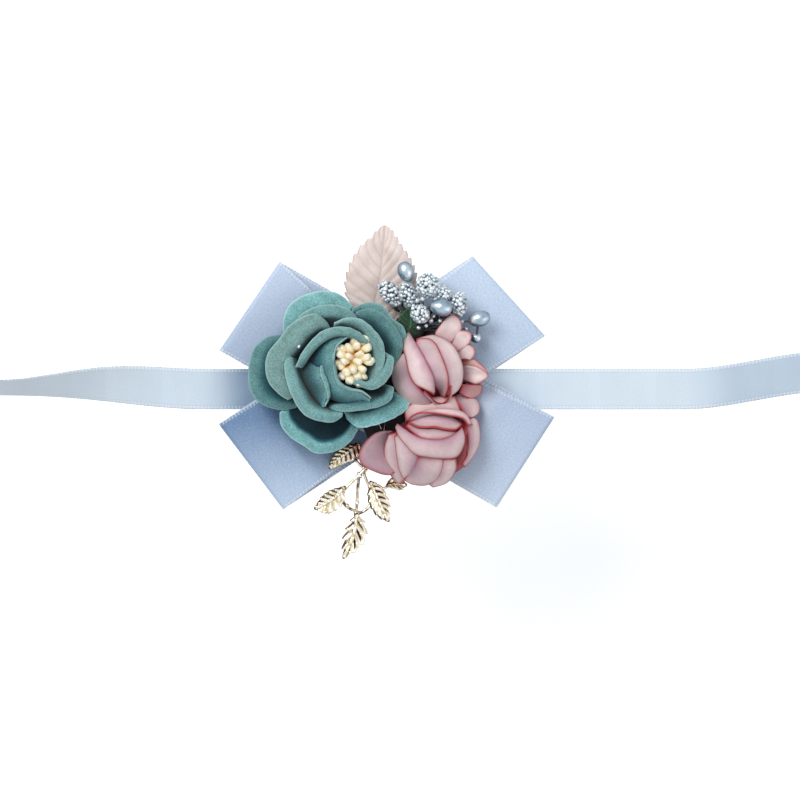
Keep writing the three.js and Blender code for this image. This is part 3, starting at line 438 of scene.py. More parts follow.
class Nodes:
    """Short ways to wire the nodes of a material or of the world."""

    def __init__(self, tree):
        self.tree = tree

    def set(self, socket, value):
        if isinstance(value, bpy.types.NodeSocket):
            self.tree.links.new(value, socket)
        else:
            socket.default_value = linear(value) if isinstance(value, str) else value

    def fill(self, node, **inputs):
        for key, value in inputs.items():
            self.set(node.inputs[key.replace("_", " ")], value)
        return node

    def node(self, kind, **inputs):
        return self.fill(self.tree.nodes.new(kind), **inputs)

    def number(self, source):
        """A number that the mesh carries under a name, or what is given."""
        if not isinstance(source, str):
            return source
        node = self.node("ShaderNodeAttribute")
        node.attribute_name = source
        return node.outputs["Fac"]

    def place(self, kind):
        return self.node("ShaderNodeTexCoord").outputs[kind]

    def noise(self, size_mm, detail=2.0, kind="Object", stretch=None):
        place = self.place(kind)
        if stretch:
            place = self.node("ShaderNodeMapping", Vector=place, Scale=stretch).outputs["Vector"]
        scale = 1 / (size_mm * MM)
        return self.node("ShaderNodeTexNoise", Vector=place, Scale=scale, Detail=detail).outputs["Fac"]

    def wave(self, size_mm, direction, distortion):
        scale = 1 / (size_mm * MM) * WAVE_SPACING
        node = self.node("ShaderNodeTexWave", Vector=self.place("UV"), Distortion=distortion, Scale=scale)
        node.bands_direction = direction
        return node.outputs["Fac"]

    def math(self, operation, a, b):
        node = self.node("ShaderNodeMath")
        node.operation = operation
        for socket, source in zip(node.inputs, (a, b)):
            self.set(socket, self.number(source))
        return node.outputs[0]

    def ramp(self, source, stops):
        """Stops are places with a written colour, a grey or a ready colour."""
        node = self.node("ShaderNodeValToRGB", Fac=self.number(source))
        for _ in stops[2:]:
            node.color_ramp.elements.new(0.5)
        for element, (position, colour) in zip(node.color_ramp.elements, stops):
            element.position = position
            if isinstance(colour, float):
                colour = (colour, colour, colour, 1)
            element.color = linear(colour) if isinstance(colour, str) else colour
        return node.outputs["Color"]

    def blend(self, source, a, b, kind="MIX"):
        node = self.node("ShaderNodeMix")
        node.data_type = "RGBA"
        node.blend_type = kind
        self.set(node.inputs["Factor"], self.number(source))
        for socket, colour in zip([s for s in node.inputs if s.type == "RGBA"], (a, b)):
            self.set(socket, colour)
        return [s for s in node.outputs if s.type == "RGBA"][0]

    def multiplied(self, colour, by):
        return self.blend(1.0, colour, by, "MULTIPLY")

    def mottled(self, colour, source, darkest, brightest, start=0.3):
        """A colour whose brightness drifts with a noise."""
        return self.multiplied(colour, self.ramp(source, [(start, darkest), (1 - start, brightest)]))

    def bump(self, height, depth_mm, strength, **over):
        node = self.node("ShaderNodeBump", Height=height, Strength=strength, Distance=depth_mm * MM, **over)
        return node.outputs["Normal"]


class Finish(Nodes):
    """A material, and its shader's own constants."""

    def __init__(self, name, **constants):
        self.material = bpy.data.materials.new(name)
        self.material.use_nodes = True
        super().__init__(self.material.node_tree)
        self.shader = self.fill(self.tree.nodes["Principled BSDF"], **constants)

    def finish(self, colour, normal=None, **inputs):
        if normal:
            inputs["Normal"] = normal
        self.fill(self.shader, Base_Color=colour, **inputs)
        return self.material


def suede(name, light, middle, dark):
    """Foam suede: soft mottled nap, pale cut edge, painted shade towards the foot and between petals."""
    finish = Finish(name, Roughness=0.95, Sheen_Weight=0.25, Sheen_Roughness=0.6, Sheen_Tint="#c4dcdc",
                    Specular_IOR_Level=0.1)
    # Painted shade that deepens from the rim towards the foot.
    colour = finish.ramp("painted_inner_shade", [(0.0, light), (0.5, middle), (1.0, dark)])
    colour = finish.blend("warm", colour, "#8a9f95")
    colour = finish.mottled(colour, finish.noise(3.2, 3.0), 0.82, 1.12)
    colour = finish.mottled(colour, finish.noise(0.36, 4.0), 0.62, 1.34, 0.28)
    edge = finish.ramp("edge", [(0.0, 0.9), (0.26, 0.7), (0.5, 0.15), (1.0, 0.0)])
    colour = finish.blend(edge, colour, "#a5c8c7")
    # Painted shade where petals crowd, from how open each corner is.
    crowd = finish.ramp("open", [(0.0, "#050f17"), (0.26, "#62838b"), (0.66, "#ffffff")])
    colour = finish.multiplied(colour, crowd)
    gain = finish.number("tone")
    lift = finish.node("ShaderNodeCombineColor", Red=gain, Green=gain, Blue=gain)
    colour = finish.multiplied(colour, lift.outputs["Color"])
    fuzz = finish.bump(finish.noise(0.16, 4.0), 0.06, 0.7)
    return finish.finish(colour, finish.bump(finish.noise(1.6), 0.14, 0.5, Normal=fuzz))


def petal_satin(name, light, middle, shade, edge_colour, roughness=0.42):
    """Thin satin petal: heat-sealed dark edge, painted mauve shade by its tuck and painted crimson shade in
    crevices.
    """
    finish = Finish(name, Roughness=roughness, Sheen_Weight=0.2, Sheen_Roughness=0.35,
                    Specular_IOR_Level=0.35)
    # Painted shade from the free edge towards the tucked one, which ends in the sealed edge's colour.
    stops = [(0.0, light), (0.3, light), (0.6, middle), (0.86, shade), (1.0, edge_colour)]
    colour = finish.ramp("deep", stops)
    colour = finish.mottled(colour, finish.noise(2.4), 0.9, 1.05)
    colour = finish.mottled(colour, finish.noise(0.22), 0.93, 1.05)
    # Per petal, a salmon tint below a half and painted mauve shade above it, for petals that lie in shadow.
    tint = finish.ramp("tint", [(0.0, "#e8bfbc"), (0.5, "#ffffff"), (1.0, "#b9a6b4")])
    colour = finish.multiplied(colour, tint)
    # Painted crimson shade where petals crowd, and painted shade easing to a touch of painted light where they
    # are open.
    crowd = finish.ramp("open", [(0.0, 0.95), (0.16, 0.66), (0.4, 0.12), (0.65, 0.0)])
    colour = finish.blend(crowd, colour, "#a3434e")
    depth = finish.ramp("open", [(0.0, "#d3a0a2"), (0.12, "#fcf1f1"), (0.3, 1.05), (0.6, 1.02)])
    colour = finish.multiplied(colour, depth)
    wander = finish.math("MULTIPLY", finish.noise(1.3), 0.2)
    distance = finish.math("MULTIPLY", finish.math("SUBTRACT", "edge", wander), 0.4)
    sealed = finish.ramp(distance, [(0.0, 1.0), (0.1, 0.92), (0.19, 0.48), (0.36, 0.2), (0.95, 0.0)])
    colour = finish.blend(sealed, colour, edge_colour)
    return finish.finish(colour, finish.bump(finish.noise(0.18), 0.02, 0.35))


def ribbon_satin(name, light, dark, painted_sparkle=0.0, mottle=(0.96, 1.03)):
    """Ribbon satin: fine cross weave, painted shade, painted shine in soft bands, painted glints, woven
    selvages.
    """
    finish = Finish(name, Roughness=0.4, Sheen_Weight=0.2, Sheen_Roughness=0.3, Specular_IOR_Level=0.4,
                    Anisotropic=0.4)
    # Painted shade, as much as each corner carries.
    colour = finish.blend("shade", light, dark)
    # Painted shine that drifts in soft bands along the ribbon.
    colour = finish.mottled(colour, finish.noise(9.0, kind="UV", stretch=(1.0, 0.25, 1.0)), 0.96, 1.03)
    colour = finish.mottled(colour, finish.noise(0.55, kind="UV", stretch=(1.0, 1.5, 1.0)), *mottle, 0.28)
    # Painted glints.
    if painted_sparkle:
        glint = finish.ramp(finish.noise(0.24, 1.0, "UV"), [(0.66, 0.0), (0.74, painted_sparkle)])
        colour = finish.blend(glint, colour, "#eef4ff")
    line = finish.ramp("edge", [(0.74, 0.0), (0.8, 0.35), (0.92, 0.0)])
    colour = finish.blend(line, colour, dark)
    stitch = finish.math("MULTIPLY", finish.math("LESS_THAN", "edge", 0.72), finish.wave(0.9, "X", 1.0))
    colour = finish.blend(finish.math("MULTIPLY", stitch, 0.35), colour, "#f4f8fc")
    band = finish.ramp("edge", [(0.0, 0.4), (0.7, 0.4), (0.78, 0.9), (0.98, 0.9)])
    weave = finish.noise(0.14, kind="UV", stretch=(1.0, 3.0, 1.0))
    height = finish.math("ADD", weave, finish.math("MULTIPLY", band, 0.5))
    return finish.finish(colour, finish.bump(height, 0.03, 0.35))


def thread(name, light, dark):
    """Spun thread of a ribbon's bound edge."""
    finish = Finish(name, Roughness=0.5, Sheen_Weight=0.3)
    colour = finish.ramp(finish.noise(0.5), [(0.35, dark), (0.65, light)])
    return finish.finish(colour, finish.bump(finish.noise(0.12), 0.03, 0.5))


def leaf_cloth(name, light, middle, dark):
    """Pressed leaf: veins drawn by numbers of the mesh, darker in their grooves."""
    finish = Finish(name, Roughness=0.55, Sheen_Weight=0.3, Sheen_Roughness=0.4, Specular_IOR_Level=0.3)
    colour = finish.ramp(finish.noise(4.0, 3.0), [(0.3, middle), (0.7, light)])
    colour = finish.blend("vein", colour, dark)
    colour = finish.mottled(colour, finish.noise(0.25), 0.95, 1.04)
    edge = finish.ramp("edge", [(0.0, 0.6), (0.5, 0.0)])
    colour = finish.blend(edge, colour, dark)
    return finish.finish(colour, finish.bump(finish.noise(0.2, 3.0), 0.03, 0.4))


def gold_metal():
    """Cast pale gold: bright ridges, brown lacquer in the grooves, darker brown round the rims, rusty patches.
    """
    finish = Finish("gold_casting", Metallic=1.0)
    colour = finish.ramp(finish.noise(1.6), [(0.32, "#c4b491"), (0.5, "#e6dcc6"), (0.68, "#faf5ea")])
    colour = finish.blend("rust", colour, "#7a2a18")
    colour = finish.blend("groove", colour, "#22140a")
    outline = finish.ramp("edge", [(0.0, 1.0), (0.34, 0.85), (0.52, 0.0)])
    colour = finish.blend(outline, colour, "#3a2410")
    roughness = finish.ramp(finish.noise(0.6), [(0.3, 0.16), (0.7, 0.34)])
    return finish.finish(colour, finish.bump(finish.noise(0.6), 0.05, 0.45), Roughness=roughness)


def pearl_lacquer():
    """Silver-blue pearl coat, with painted shade where it turns away from the view."""
    finish = Finish("pearl_lacquer", Metallic=0.8, Roughness=0.3, Coat_Weight=0.4, Coat_Roughness=0.15)
    colour = finish.ramp(finish.noise(2.6), [(0.3, "#8fa3b4"), (0.5, "#b3c6d4"), (0.72, "#ece9e4")])
    # Painted shade towards the outline, where the surface turns from the view.
    facing = finish.node("ShaderNodeLayerWeight", Blend=0.5).outputs["Facing"]
    rim = finish.ramp(facing, [(0.1, "#f2f4f6"), (0.5, "#bcc6cf"), (0.95, "#8a959f")])
    colour = finish.multiplied(colour, rim)
    return finish.finish(colour, finish.bump(finish.noise(0.5), 0.03, 0.3))


def sugar_lacquer():
    """Silvered sugar grains, with painted shade where they meet."""
    finish = Finish("sugar_lacquer", Metallic=0.45, Roughness=0.34, Coat_Weight=0.3, Coat_Roughness=0.2)
    colour = finish.ramp(finish.noise(0.9), [(0.3, "#8ba0af"), (0.48, "#d8e4ea"), (0.64, "#ffffff")])
    # Painted shade in the gaps between grains.
    colour = finish.blend("groove", colour, "#2f3d49")
    return finish.finish(colour, finish.bump(finish.noise(0.2, 3.0), 0.06, 0.6))


def plain_fibre(name, light, dark, size_mm=0.5, roughness=0.9, depth_mm=0.06):
    """Felt, tape or painted wire, mottled in two tones."""
    finish = Finish(name, Roughness=roughness, Sheen_Weight=0.2)
    colour = finish.ramp(finish.noise(size_mm, 4.0), [(0.3, dark), (0.7, light)])
    return finish.finish(colour, finish.bump(finish.noise(size_mm / 3, 4.0), depth_mm, 0.6))


def stamen_cream():
    """Grains of cream paste: pale caps, amber towards the stalk, then painted shade that darkens to brown."""
    finish = Finish("stamen_cream", Roughness=0.5, Subsurface_Weight=0.15, Subsurface_Scale=0.6 * MM)
    # Cream caps, amber below them, then painted shade darkening to brown at the stalk.
    stops = [(0.0, "#fff6e0"), (0.38, "#f4e2b8"), (0.66, "#c48d4a"), (1.0, "#4a2b12")]
    colour = finish.mottled(finish.ramp("deep", stops), finish.noise(0.8, 3.0), 0.88, 1.05)
    return finish.finish(colour, finish.bump(finish.noise(0.45, 3.0), 0.12, 0.6))


def glue_in_painted_shade():
    """Glue painted near black, standing for the shade of the crevices over it."""
    finish = Finish("glue", Roughness=0.7)
    colour = finish.ramp(finish.noise(2.0), [(0.3, "#0f0d14"), (0.7, "#1d1c26")])
    return finish.finish(colour, finish.bump(finish.noise(1.5), 0.2, 0.6))


# Camera: straight above, with a long lens, so that the picture's plan is kept.
CAMERA_DISTANCE = 1600
CAMERA_CLIP_END = 10000
LOOK_AT_HEIGHT = 8


def camera():
    data = bpy.data.cameras.new("camera")
    view = PICTURE_PX * MM_PER_PX
    data.lens = data.sensor_width * CAMERA_DISTANCE / view
    data.clip_end = CAMERA_CLIP_END * MM
    eye = bpy.data.objects.new("camera", data)
    eye.location = from_picture((PICTURE_PX / 2, PICTURE_PX / 2), LOOK_AT_HEIGHT + CAMERA_DISTANCE) * MM
    bpy.context.scene.collection.objects.link(eye)
    bpy.context.scene.camera = eye


# Place, size and power of each lamp, and the world's tone at its horizon and overhead.
LAMPS = {"key_lamp": ((-460, 520, 900), 620, 7.9), "fill_lamp": ((700, -250, 700), 700, 1.6)}
DOME = [(0.0, (0.26, 0.275, 0.295, 1)), (1.0, (0.66, 0.68, 0.7, 1))]
FLOOR_SIZE = 6000
FLOOR_GLOW = 0.34
# Room below the corsage for its tails to fold down.
FLOOR_DROP = 80


def lamp(name, place, size, power):
    data = bpy.data.lights.new(name, "AREA")
    data.size = size * MM
    data.energy = power
    light = bpy.data.objects.new(name, data)
    light.location = Vector(place) * MM
    light.rotation_euler = (-Vector(place)).to_track_quat("-Z", "Y").to_euler()
    bpy.context.scene.collection.objects.link(light)


def dome():
    """A pale sky that lights the corsage. The camera, and what mirrors or lets through, see plain white."""
    world = bpy.data.worlds.new("world")
    world.use_nodes = True
    bpy.context.scene.world = world
    nodes = Nodes(world.node_tree)
    height = nodes.node("ShaderNodeSeparateXYZ", Vector=nodes.place("Generated")).outputs["Z"]
    sky = nodes.fill(nodes.tree.nodes["Background"], Color=nodes.ramp(height, DOME))
    white = nodes.node("ShaderNodeBackground", Color=WHITE)
    rays = nodes.node("ShaderNodeLightPath").outputs
    seen = rays["Is Camera Ray"]
    for kind in ("Is Glossy Ray", "Is Transmission Ray"):
        seen = nodes.math("MAXIMUM", seen, rays[kind])
    choice = nodes.node("ShaderNodeMixShader", Fac=seen)
    for socket, light in zip(choice.inputs[1:], (sky, white)):
        nodes.set(socket, light.outputs[0])
    nodes.fill(nodes.tree.nodes["World Output"], Surface=choice.outputs[0])


def floor():
    """White paper that keeps the shadow. It glows a little where the camera sees it."""
    finish = Finish("floor_paper", Roughness=0.9, Specular_IOR_Level=0.0, Emission_Color=WHITE)
    rays = finish.node("ShaderNodeLightPath").outputs
    glow = finish.math("MULTIPLY", rays["Is Camera Ray"], FLOOR_GLOW)
    colour = finish.ramp(finish.noise(30.0, 1.0), [(0.0, "#f4f5f6"), (1.0, "#f8f8f8")])
    half = FLOOR_SIZE / 2
    corners = [Vector((x * half, y * half, -FLOOR_DROP)) for x, y in ((-1, -1), (1, -1), (1, 1), (-1, 1))]
    material = finish.finish(colour, Emission_Strength=glow)
    new_mesh("floor", corners, [(0, 1, 2, 3)], [material], bodies=())


def studio():
    bpy.context.scene.view_settings.view_transform = "Standard"
    for name, row in LAMPS.items():
        lamp(name, *row)
    dome()
    floor()


# Ribbons. Along the wrist ribbon, from its middle: where it drops off the pad, where its left tail rolls on
# its side, and where its right tail lifts and swings.
RIBBON_WIDTH = 10
RIBBON_SIDE_SHIFT = -1
RIBBON_DROP = (17, 31)
RIBBON_END_SLANT = 1
RIBBON_END_LENGTH = 12
RIBBON_SWELL = 0.12
RIBBON_SWELL_RATE = 0.21
HINGES_X = (34, 48, 62)
ROLL = {"start": 44, "full": 96, "end": 130, "degrees": 68, "side_share": 0.75}
LIFT = {"start": 76, "full": 112, "end": 150, "height": 6, "side": 4.4}
# Painted shade of each tail, what it gains by the flowers and further out, and where those fade out or in.
LEFT_SHADE = {"base": 0.17, "near": 0.87, "near_fade": (32, 46), "far": -0.2, "far_rise": (55, 85)}
RIGHT_SHADE = {"base": 0.08, "near": 0.15, "near_fade": (36, 44), "far": 0.45, "far_rise": (74, 90)}
RIBBON_STEP = 1.0
RIBBON_ACROSS = 14
SELVAGE_RADIUS = 0.15
SELVAGE_BEAD = 0.9
SELVAGE_BEAD_RINGS = 4
SELVAGE_DIP_SHARE = 0.22
SELVAGE_SIDES = 6
SELVAGE_THREAD = thread("selvage_thread", "#e6eef4", "#a9bccb")


def wrist_station(x):
    """Side place, height and roll of the wrist ribbon at a place along it."""
    if abs(x) < RIBBON_DROP[1]:
        return RIBBON_SIDE_SHIFT, RIBBON_Z * (1 - smooth(*RIBBON_DROP, abs(x))), 0
    bend = LIFT if x > 0 else ROLL
    share = between(abs(x), bend["start"], bend["full"], bend["full"], bend["end"])
    if x > 0:
        return RIBBON_SIDE_SHIFT + LIFT["side"] * share, LIFT["height"] * share, 0
    roll = math.radians(ROLL["degrees"] * share)
    half = RIBBON_WIDTH / 2
    lower = RIBBON_SIDE_SHIFT - half + half * math.sin(roll) * ROLL["side_share"]
    return lower + half * math.cos(roll), half * math.sin(roll), roll


def wrist_place(x, edge):
    """A point of the wrist ribbon. The edge runs from -1 to 1 across it."""
    y, z, roll = wrist_station(x)
    at_end = smooth(RIBBON_END_X - RIBBON_END_LENGTH, RIBBON_END_X, abs(x))
    place = Vector((x + math.copysign(RIBBON_END_SLANT, x) * at_end * edge, y, z + SATIN_THICKNESS / 2))
    half = RIBBON_WIDTH / 2 * edge
    place.y += half * math.cos(roll)
    place.z += half * math.sin(roll)
    place.z += max(RIBBON_SWELL * math.sin(x * RIBBON_SWELL_RATE) * (1 - edge * edge), 0)
    return place


def wrist_shade(x):
    """Painted shade of the wrist ribbon: most by the flowers on the left, and along the tail on the right."""
    shade = RIGHT_SHADE if x > 0 else LEFT_SHADE
    near = shade["near"] * (1 - smooth(*shade["near_fade"], abs(x)))
    return shade["base"] + near + shade["far"] * smooth(*shade["far_rise"], abs(x))


def wrist_piece(name, start, end, open_rows, material, bodies, *nodes):
    """A stretch of the wrist ribbon with its selvages. A stretch with two bodies lies across the hinge between
    them.
    """
    length = abs(end - start)
    across = stations(RIBBON_ACROSS, RIBBON_WIDTH, SATIN_THICKNESS)
    grid, shade = [], []
    for u in stations(math.ceil(length / RIBBON_STEP), length, SATIN_THICKNESS, *open_rows):
        x = mix(start, end, u)
        grid.append([wrist_place(x, 2 * v - 1) for v in across])
        shade.append([wrist_shade(x)] * len(grid[-1]))
    piece = shell(name, grid, SATIN_THICKNESS, [material], open_rows, {"shade": shade},
                  bodies=bodies, slot="ribbon_satin")
    edges = selvages(name + "_selvage", grid, bodies, "ribbon_satin")
    if nodes:
        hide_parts(*nodes)
    if len(bodies) > 1:
        for part in (piece, edges):
            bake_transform(part)


def selvages(name, grid, bodies, slot):
    """The bound edges of a ribbon: a beaded thread along each."""
    threads = Bundle()
    for column in (0, -1):
        route = Spline([row[column] for row in grid[::3]] + [grid[-1][column]])
        beads = route.length / SELVAGE_BEAD

        def radius(share):
            dip = SELVAGE_DIP_SHARE * math.cos(2 * math.pi * share * beads)
            return SELVAGE_RADIUS * (1 - SELVAGE_DIP_SHARE + dip)
        threads.add(tube(route, radius, SELVAGE_SIDES, int(beads * SELVAGE_BEAD_RINGS)))
    return threads.piece(name, [SELVAGE_THREAD], bodies=bodies, slot=slot)


def wrist_ribbon():
    # Its second colour is that of full painted shade.
    material = ribbon_satin("ribbon_satin", "#d8e4ee", "#869db4")
    half_spacing = (HINGES_X[1] - HINGES_X[0]) / 2
    joins = [HINGES_X[0] - half_spacing] + [x + half_spacing for x in HINGES_X]
    wrist_piece("satin_ribbon_centre", -joins[0], joins[0], (True, True), material, ["corsage"],
                "wrist_ribbon_centre")
    for word, side in (("left", -1), ("right", 1)):
        bodies = ["corsage"] + [f"{word}_tail_{i}" for i in (1, 2, 3)]
        for i in range(3):
            wrist_piece(f"satin_ribbon_{word}_{i + 1}", side * joins[i], side * joins[i + 1], (True, True),
                        material, bodies[i:i + 2], f"{word}_ribbon_{i + 1}")
        wrist_piece(f"satin_ribbon_{word}_end", side * joins[3], side * RIBBON_END_X, (True, False),
                    material, bodies[3:])


# Bow
BOW_RIBBON_WIDTH = 26.6
BOW_OPENING = 1.7
BOW_OVERLAP_REACH = 24
BOW_ENDS_GAP = 3
BOW_CENTRE_PX = (381, 380.5)
BOW_LAYER_STEPS = 46
BOW_FOLD_STEPS = 14
BOW_ACROSS = 30
BOW_MOTTLE = (0.86, 1.1)
BOW_SWELL = 0.35
BOW_RIPPLE = 0.12
BOW_RIPPLE_RATES = (0.11, 0.16, 3.0)
# Where a loop's painted shade has turned from that by the knot to that at the fold, as shares of its reach.
BOW_SHADE_TURN = (0.25, 1.0)
# For each half of a bow: its edges' reaches from the middle to the fold, how much the top layer's edges draw
# in at the middle, and its painted shade at the fold, by the knot and how that changes from edge to edge.
# A bow's satin gives its name, its colour, the colour of full painted shade and how much painted sparkle it
# has.
BOWS = {
    "satin_bow_lower": {
        "node": "lower_bow_ribbon", "satin": ("bow_satin_lower", "#cadaee", "#6685aa", 0.6),
        "base_z": LOWER_BOW_Z, "degrees": 33.5,
        "far_px": (144.7, 161.2), "far_pinch": (2.6, 1.0), "far_shade": (0.13, 0.3, 0.18),
        "near_px": (159.2, 152.5), "near_pinch": (1.2, 2.0), "near_shade": (0.6, 1.25, -0.85),
    },
    "satin_bow_upper": {
        "node": "upper_bow_ribbon", "satin": ("bow_satin_upper", "#c8d6ea", "#8299ba", 0.35),
        "base_z": UPPER_BOW_Z, "degrees": -29.5,
        "far_px": (168.6, 162.6), "far_pinch": (2.4, 0.8), "far_shade": (0.25, 0.18, -0.4),
        "near_px": (146.4, 155.1), "near_pinch": (8.5, 0.8), "near_shade": (0.3, 0.8, 0.3),
    },
}


def bow_layer_gap(s):
    opened = smooth(BOW_OVERLAP_REACH, BOW_RIBBON_WIDTH + BOW_OPENING, s)
    return mix(SATIN_THICKNESS + CLEARANCE, BOW_OPENING, opened)


def bow_half_path(reach):
    """Distance from the middle, height and share of the pinch for one half of the loop path."""
    radius = BOW_OPENING / 2
    path = []
    for i in range(BOW_LAYER_STEPS + 1):
        s = mix(BOW_ENDS_GAP / 2, reach - radius, i / BOW_LAYER_STEPS)
        path.append((s, bow_layer_gap(s), 1 - s / (reach - radius)))
    for i in range(1, BOW_FOLD_STEPS):
        angle = math.pi * (0.5 - i / BOW_FOLD_STEPS)
        path.append((reach - radius + radius * math.cos(angle), radius + radius * math.sin(angle), 0))
    for i in range(BOW_LAYER_STEPS, -1, -1):
        path.append(((reach - radius) * i / BOW_LAYER_STEPS, 0, 0))
    return path


def bow_rows(bow, half, direction):
    """Rows of points and of shades along half a bow, from the ribbon's end round the fold to the middle."""
    edges, pinch = bow[half + "_px"], bow[half + "_pinch"]
    fold_shade, knot_shade, cross_shade = bow[half + "_shade"]
    centre = from_picture(BOW_CENTRE_PX)
    axis, across = along_and_across(bow["degrees"])
    mean = sum(edges) / 2 * MM_PER_PX
    rows, shade = [], []
    for s, height, drawn in bow_half_path(mean):
        rows.append([])
        shade.append([])
        for v in stations(BOW_ACROSS, BOW_RIBBON_WIDTH, SATIN_THICKNESS):
            reach = mix(edges[0], edges[1], v) * MM_PER_PX
            side = mix(BOW_RIBBON_WIDTH / 2 - pinch[0] * drawn, -BOW_RIBBON_WIDTH / 2 + pinch[1] * drawn, v)
            place = centre + axis * (direction * s * reach / mean) + across * side
            swell = ripple = 0
            if drawn:
                swell = BOW_SWELL * arch(v) * arch(min(s / mean, 1))
                waved = Vector(rate * c for rate, c in zip(BOW_RIPPLE_RATES, (s, side, direction)))
                ripple = BOW_RIPPLE * noise.noise(waved)
            place.z = bow["base_z"] + SATIN_THICKNESS / 2 + height + swell + ripple
            rows[-1].append(place)
            # Painted shade along the loop and across it.
            tone = mix(knot_shade, fold_shade, smooth(*BOW_SHADE_TURN, s / mean))
            shade[-1].append(tone + cross_shade * (v - 0.5))
    return rows, shade


def bow_ribbon(name, bow):
    far, far_shade = bow_rows(bow, "far", 1)
    near, near_shade = bow_rows(bow, "near", -1)
    grid = far + near[::-1][1:]
    shade = far_shade + near_shade[::-1][1:]
    material = ribbon_satin(*bow["satin"], BOW_MOTTLE)
    piece = shell(name, grid, SATIN_THICKNESS, [material], (True, True), {"shade": shade}, slot="bow_satin")
    edges = selvages(name + "_selvage", grid, ["corsage"], "bow_satin")
    middle = BOW_ACROSS // 2
    length = sum((b[middle] - a[middle]).length for a, b in zip(grid, grid[1:]))
    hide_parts(bow["node"])


# Flowers: how their balls of petals round off, and how a cupped petal's wall and lip run.
SHOULDER_SHARE = 0.88
SHOULDER_SLOPE = 1.7
BALL_HEIGHT_SHARE = 0.82
SKEW_SHARE = 0.1
BELLY_HEIGHT_SHARE = 0.55
SWELL_SHARE = 0.6
LIP_END_SHARE = 0.35
PETAL_STEPS = 44
WALL_STEPS = 26
DRAPE_ACROSS = 18
# Waves along a rim, coarse and fine: how many, what parts one petal's from the next, and their own place.
RUFFLE = (5.0, 3.1, 0.5)
FINE_RUFFLE = (19.0, 1.7, 2.5)
FINE_RUFFLE_SHARE = 0.25
RIM_RUFFLE_SHARE = 0.6


class Flower:
    """Middle, radius and crown of a flower, in the picture's plan and the frame's heights."""

    def __init__(self, centre_px, crown_px, span_px, diameter, height, hollow=None):
        self.scale = diameter / span_px
        self.radius = diameter / 2
        self.height = height
        self.centre_px = centre_px
        self.centre = from_picture(centre_px, FLOWER_Z)
        self.crown = self.at(crown_px)
        self.hollow = hollow

    def at(self, px):
        x = (px[0] - self.centre_px[0]) * self.scale
        y = (self.centre_px[1] - px[1]) * self.scale
        return Vector((self.centre.x + x, self.centre.y + y, 0))

    def z(self, share):
        return FLOWER_Z + self.height * share

    def axis_at(self, z):
        share = (z - FLOWER_Z) / self.height
        return Vector((mix(self.centre.x, self.crown.x, share), mix(self.centre.y, self.crown.y, share), z))

    def ball_share(self, distance):
        inside = min(distance, SHOULDER_SHARE)
        return math.sqrt(1 - inside * inside) - max(distance - SHOULDER_SHARE, 0) * SHOULDER_SLOPE

    def on_ball(self, px, lift):
        point = self.at(px)
        x = (point.x - self.centre.x) / self.radius
        y = (point.y - self.centre.y) / self.radius
        up = self.ball_share(math.hypot(x, y))
        dx = (px[0] - self.hollow["px"][0]) / self.hollow["radius_px"][0]
        dy = (px[1] - self.hollow["px"][1]) / self.hollow["radius_px"][1]
        dip = self.hollow["depth"] * math.exp(-dx * dx - dy * dy)
        normal = Vector((x, y, max(up, 0) + SKEW_SHARE)).normalized()
        point.z = self.z(1 - BALL_HEIGHT_SHARE) + self.height * BALL_HEIGHT_SHARE * (up - dip)
        return point + normal * (lift * self.radius)


def flutter(u, seed, rates):
    waves, step, layer = rates
    return noise.noise(Vector((u * waves, seed * step, layer)))


def cup_grid(flower, petal, ruffle=0.0, seed=0):
    """A cupped petal: rim drawn in plan, lip turned over a crest, wall running down to the base."""
    rim = Spline([flower.at(px) for px in petal["rim_px"]])
    base_z = flower.z(petal["foot"])
    base_reach = petal["base"] * flower.radius
    grid = []
    for u in stations(PETAL_STEPS, rim.length, SUEDE_THICKNESS):
        swell = max(arch(u), 0) ** SWELL_SHARE
        edge = rim.along(u)
        rim_z = flower.z(mix(petal["end"], petal["top"], swell))
        axis = flower.axis_at(rim_z)
        out = Vector((edge.x - axis.x, edge.y - axis.y, 0))
        reach = out.length
        out.normalize()
        wave = ruffle * flutter(u, seed, RUFFLE)
        fine = ruffle * FINE_RUFFLE_SHARE * flutter(u, seed, FINE_RUFFLE)
        crest_reach = reach - petal["lip"] * flower.radius * mix(LIP_END_SHARE, 1, swell)
        crest_z = rim_z + petal["rise"] * flower.height * swell + wave
        belly_reach = (crest_reach + base_reach) / 2 + petal["belly"] * flower.radius
        profile = Spline([
            flower.axis_at(z) + out * r for r, z in (
                (reach + fine, rim_z + wave * RIM_RUFFLE_SHARE + fine),
                (crest_reach, crest_z),
                (belly_reach, mix(base_z, crest_z, BELLY_HEIGHT_SHARE)),
                (base_reach, base_z),
            )])
        grid.append([profile.at(v) for v in stations(WALL_STEPS, profile.length, SUEDE_THICKNESS)])
    return grid


def draped_grid(flower, petal):
    """A petal draped over the ball of a flower, from its free edge to its tucked edge."""
    edge, tuck = Spline(petal["edge_px"]), Spline(petal["tuck_px"])
    width = max((edge.along(0.5) - tuck.along(0.5)).length * flower.scale, 1.0)
    grid = []
    for u in stations(PETAL_STEPS, edge.length * flower.scale, PETAL_SATIN_THICKNESS):
        a, b = edge.along(u), tuck.along(u)
        row = []
        for v in stations(DRAPE_ACROSS, width, PETAL_SATIN_THICKNESS):
            lift = mix(petal["lift"], petal["sink"], v) + petal["puff"] * arch(v) * arch(u)
            row.append(flower.on_ball((mix(a.x, b.x, v), mix(a.y, b.y, v)), lift))
        grid.append(row)
    return grid


ROSE = Flower((328, 371), (354, 361), 160, 40, 17)
# Each cupped petal: the plan of its rim, then shares for the rim's height in the middle and at its ends, the
# lip's width, its rise to the crest, the wall's belly, and its foot's reach and height.
CUP_KEYS = ("rim_px", "top", "end", "lip", "rise", "belly", "base", "foot")
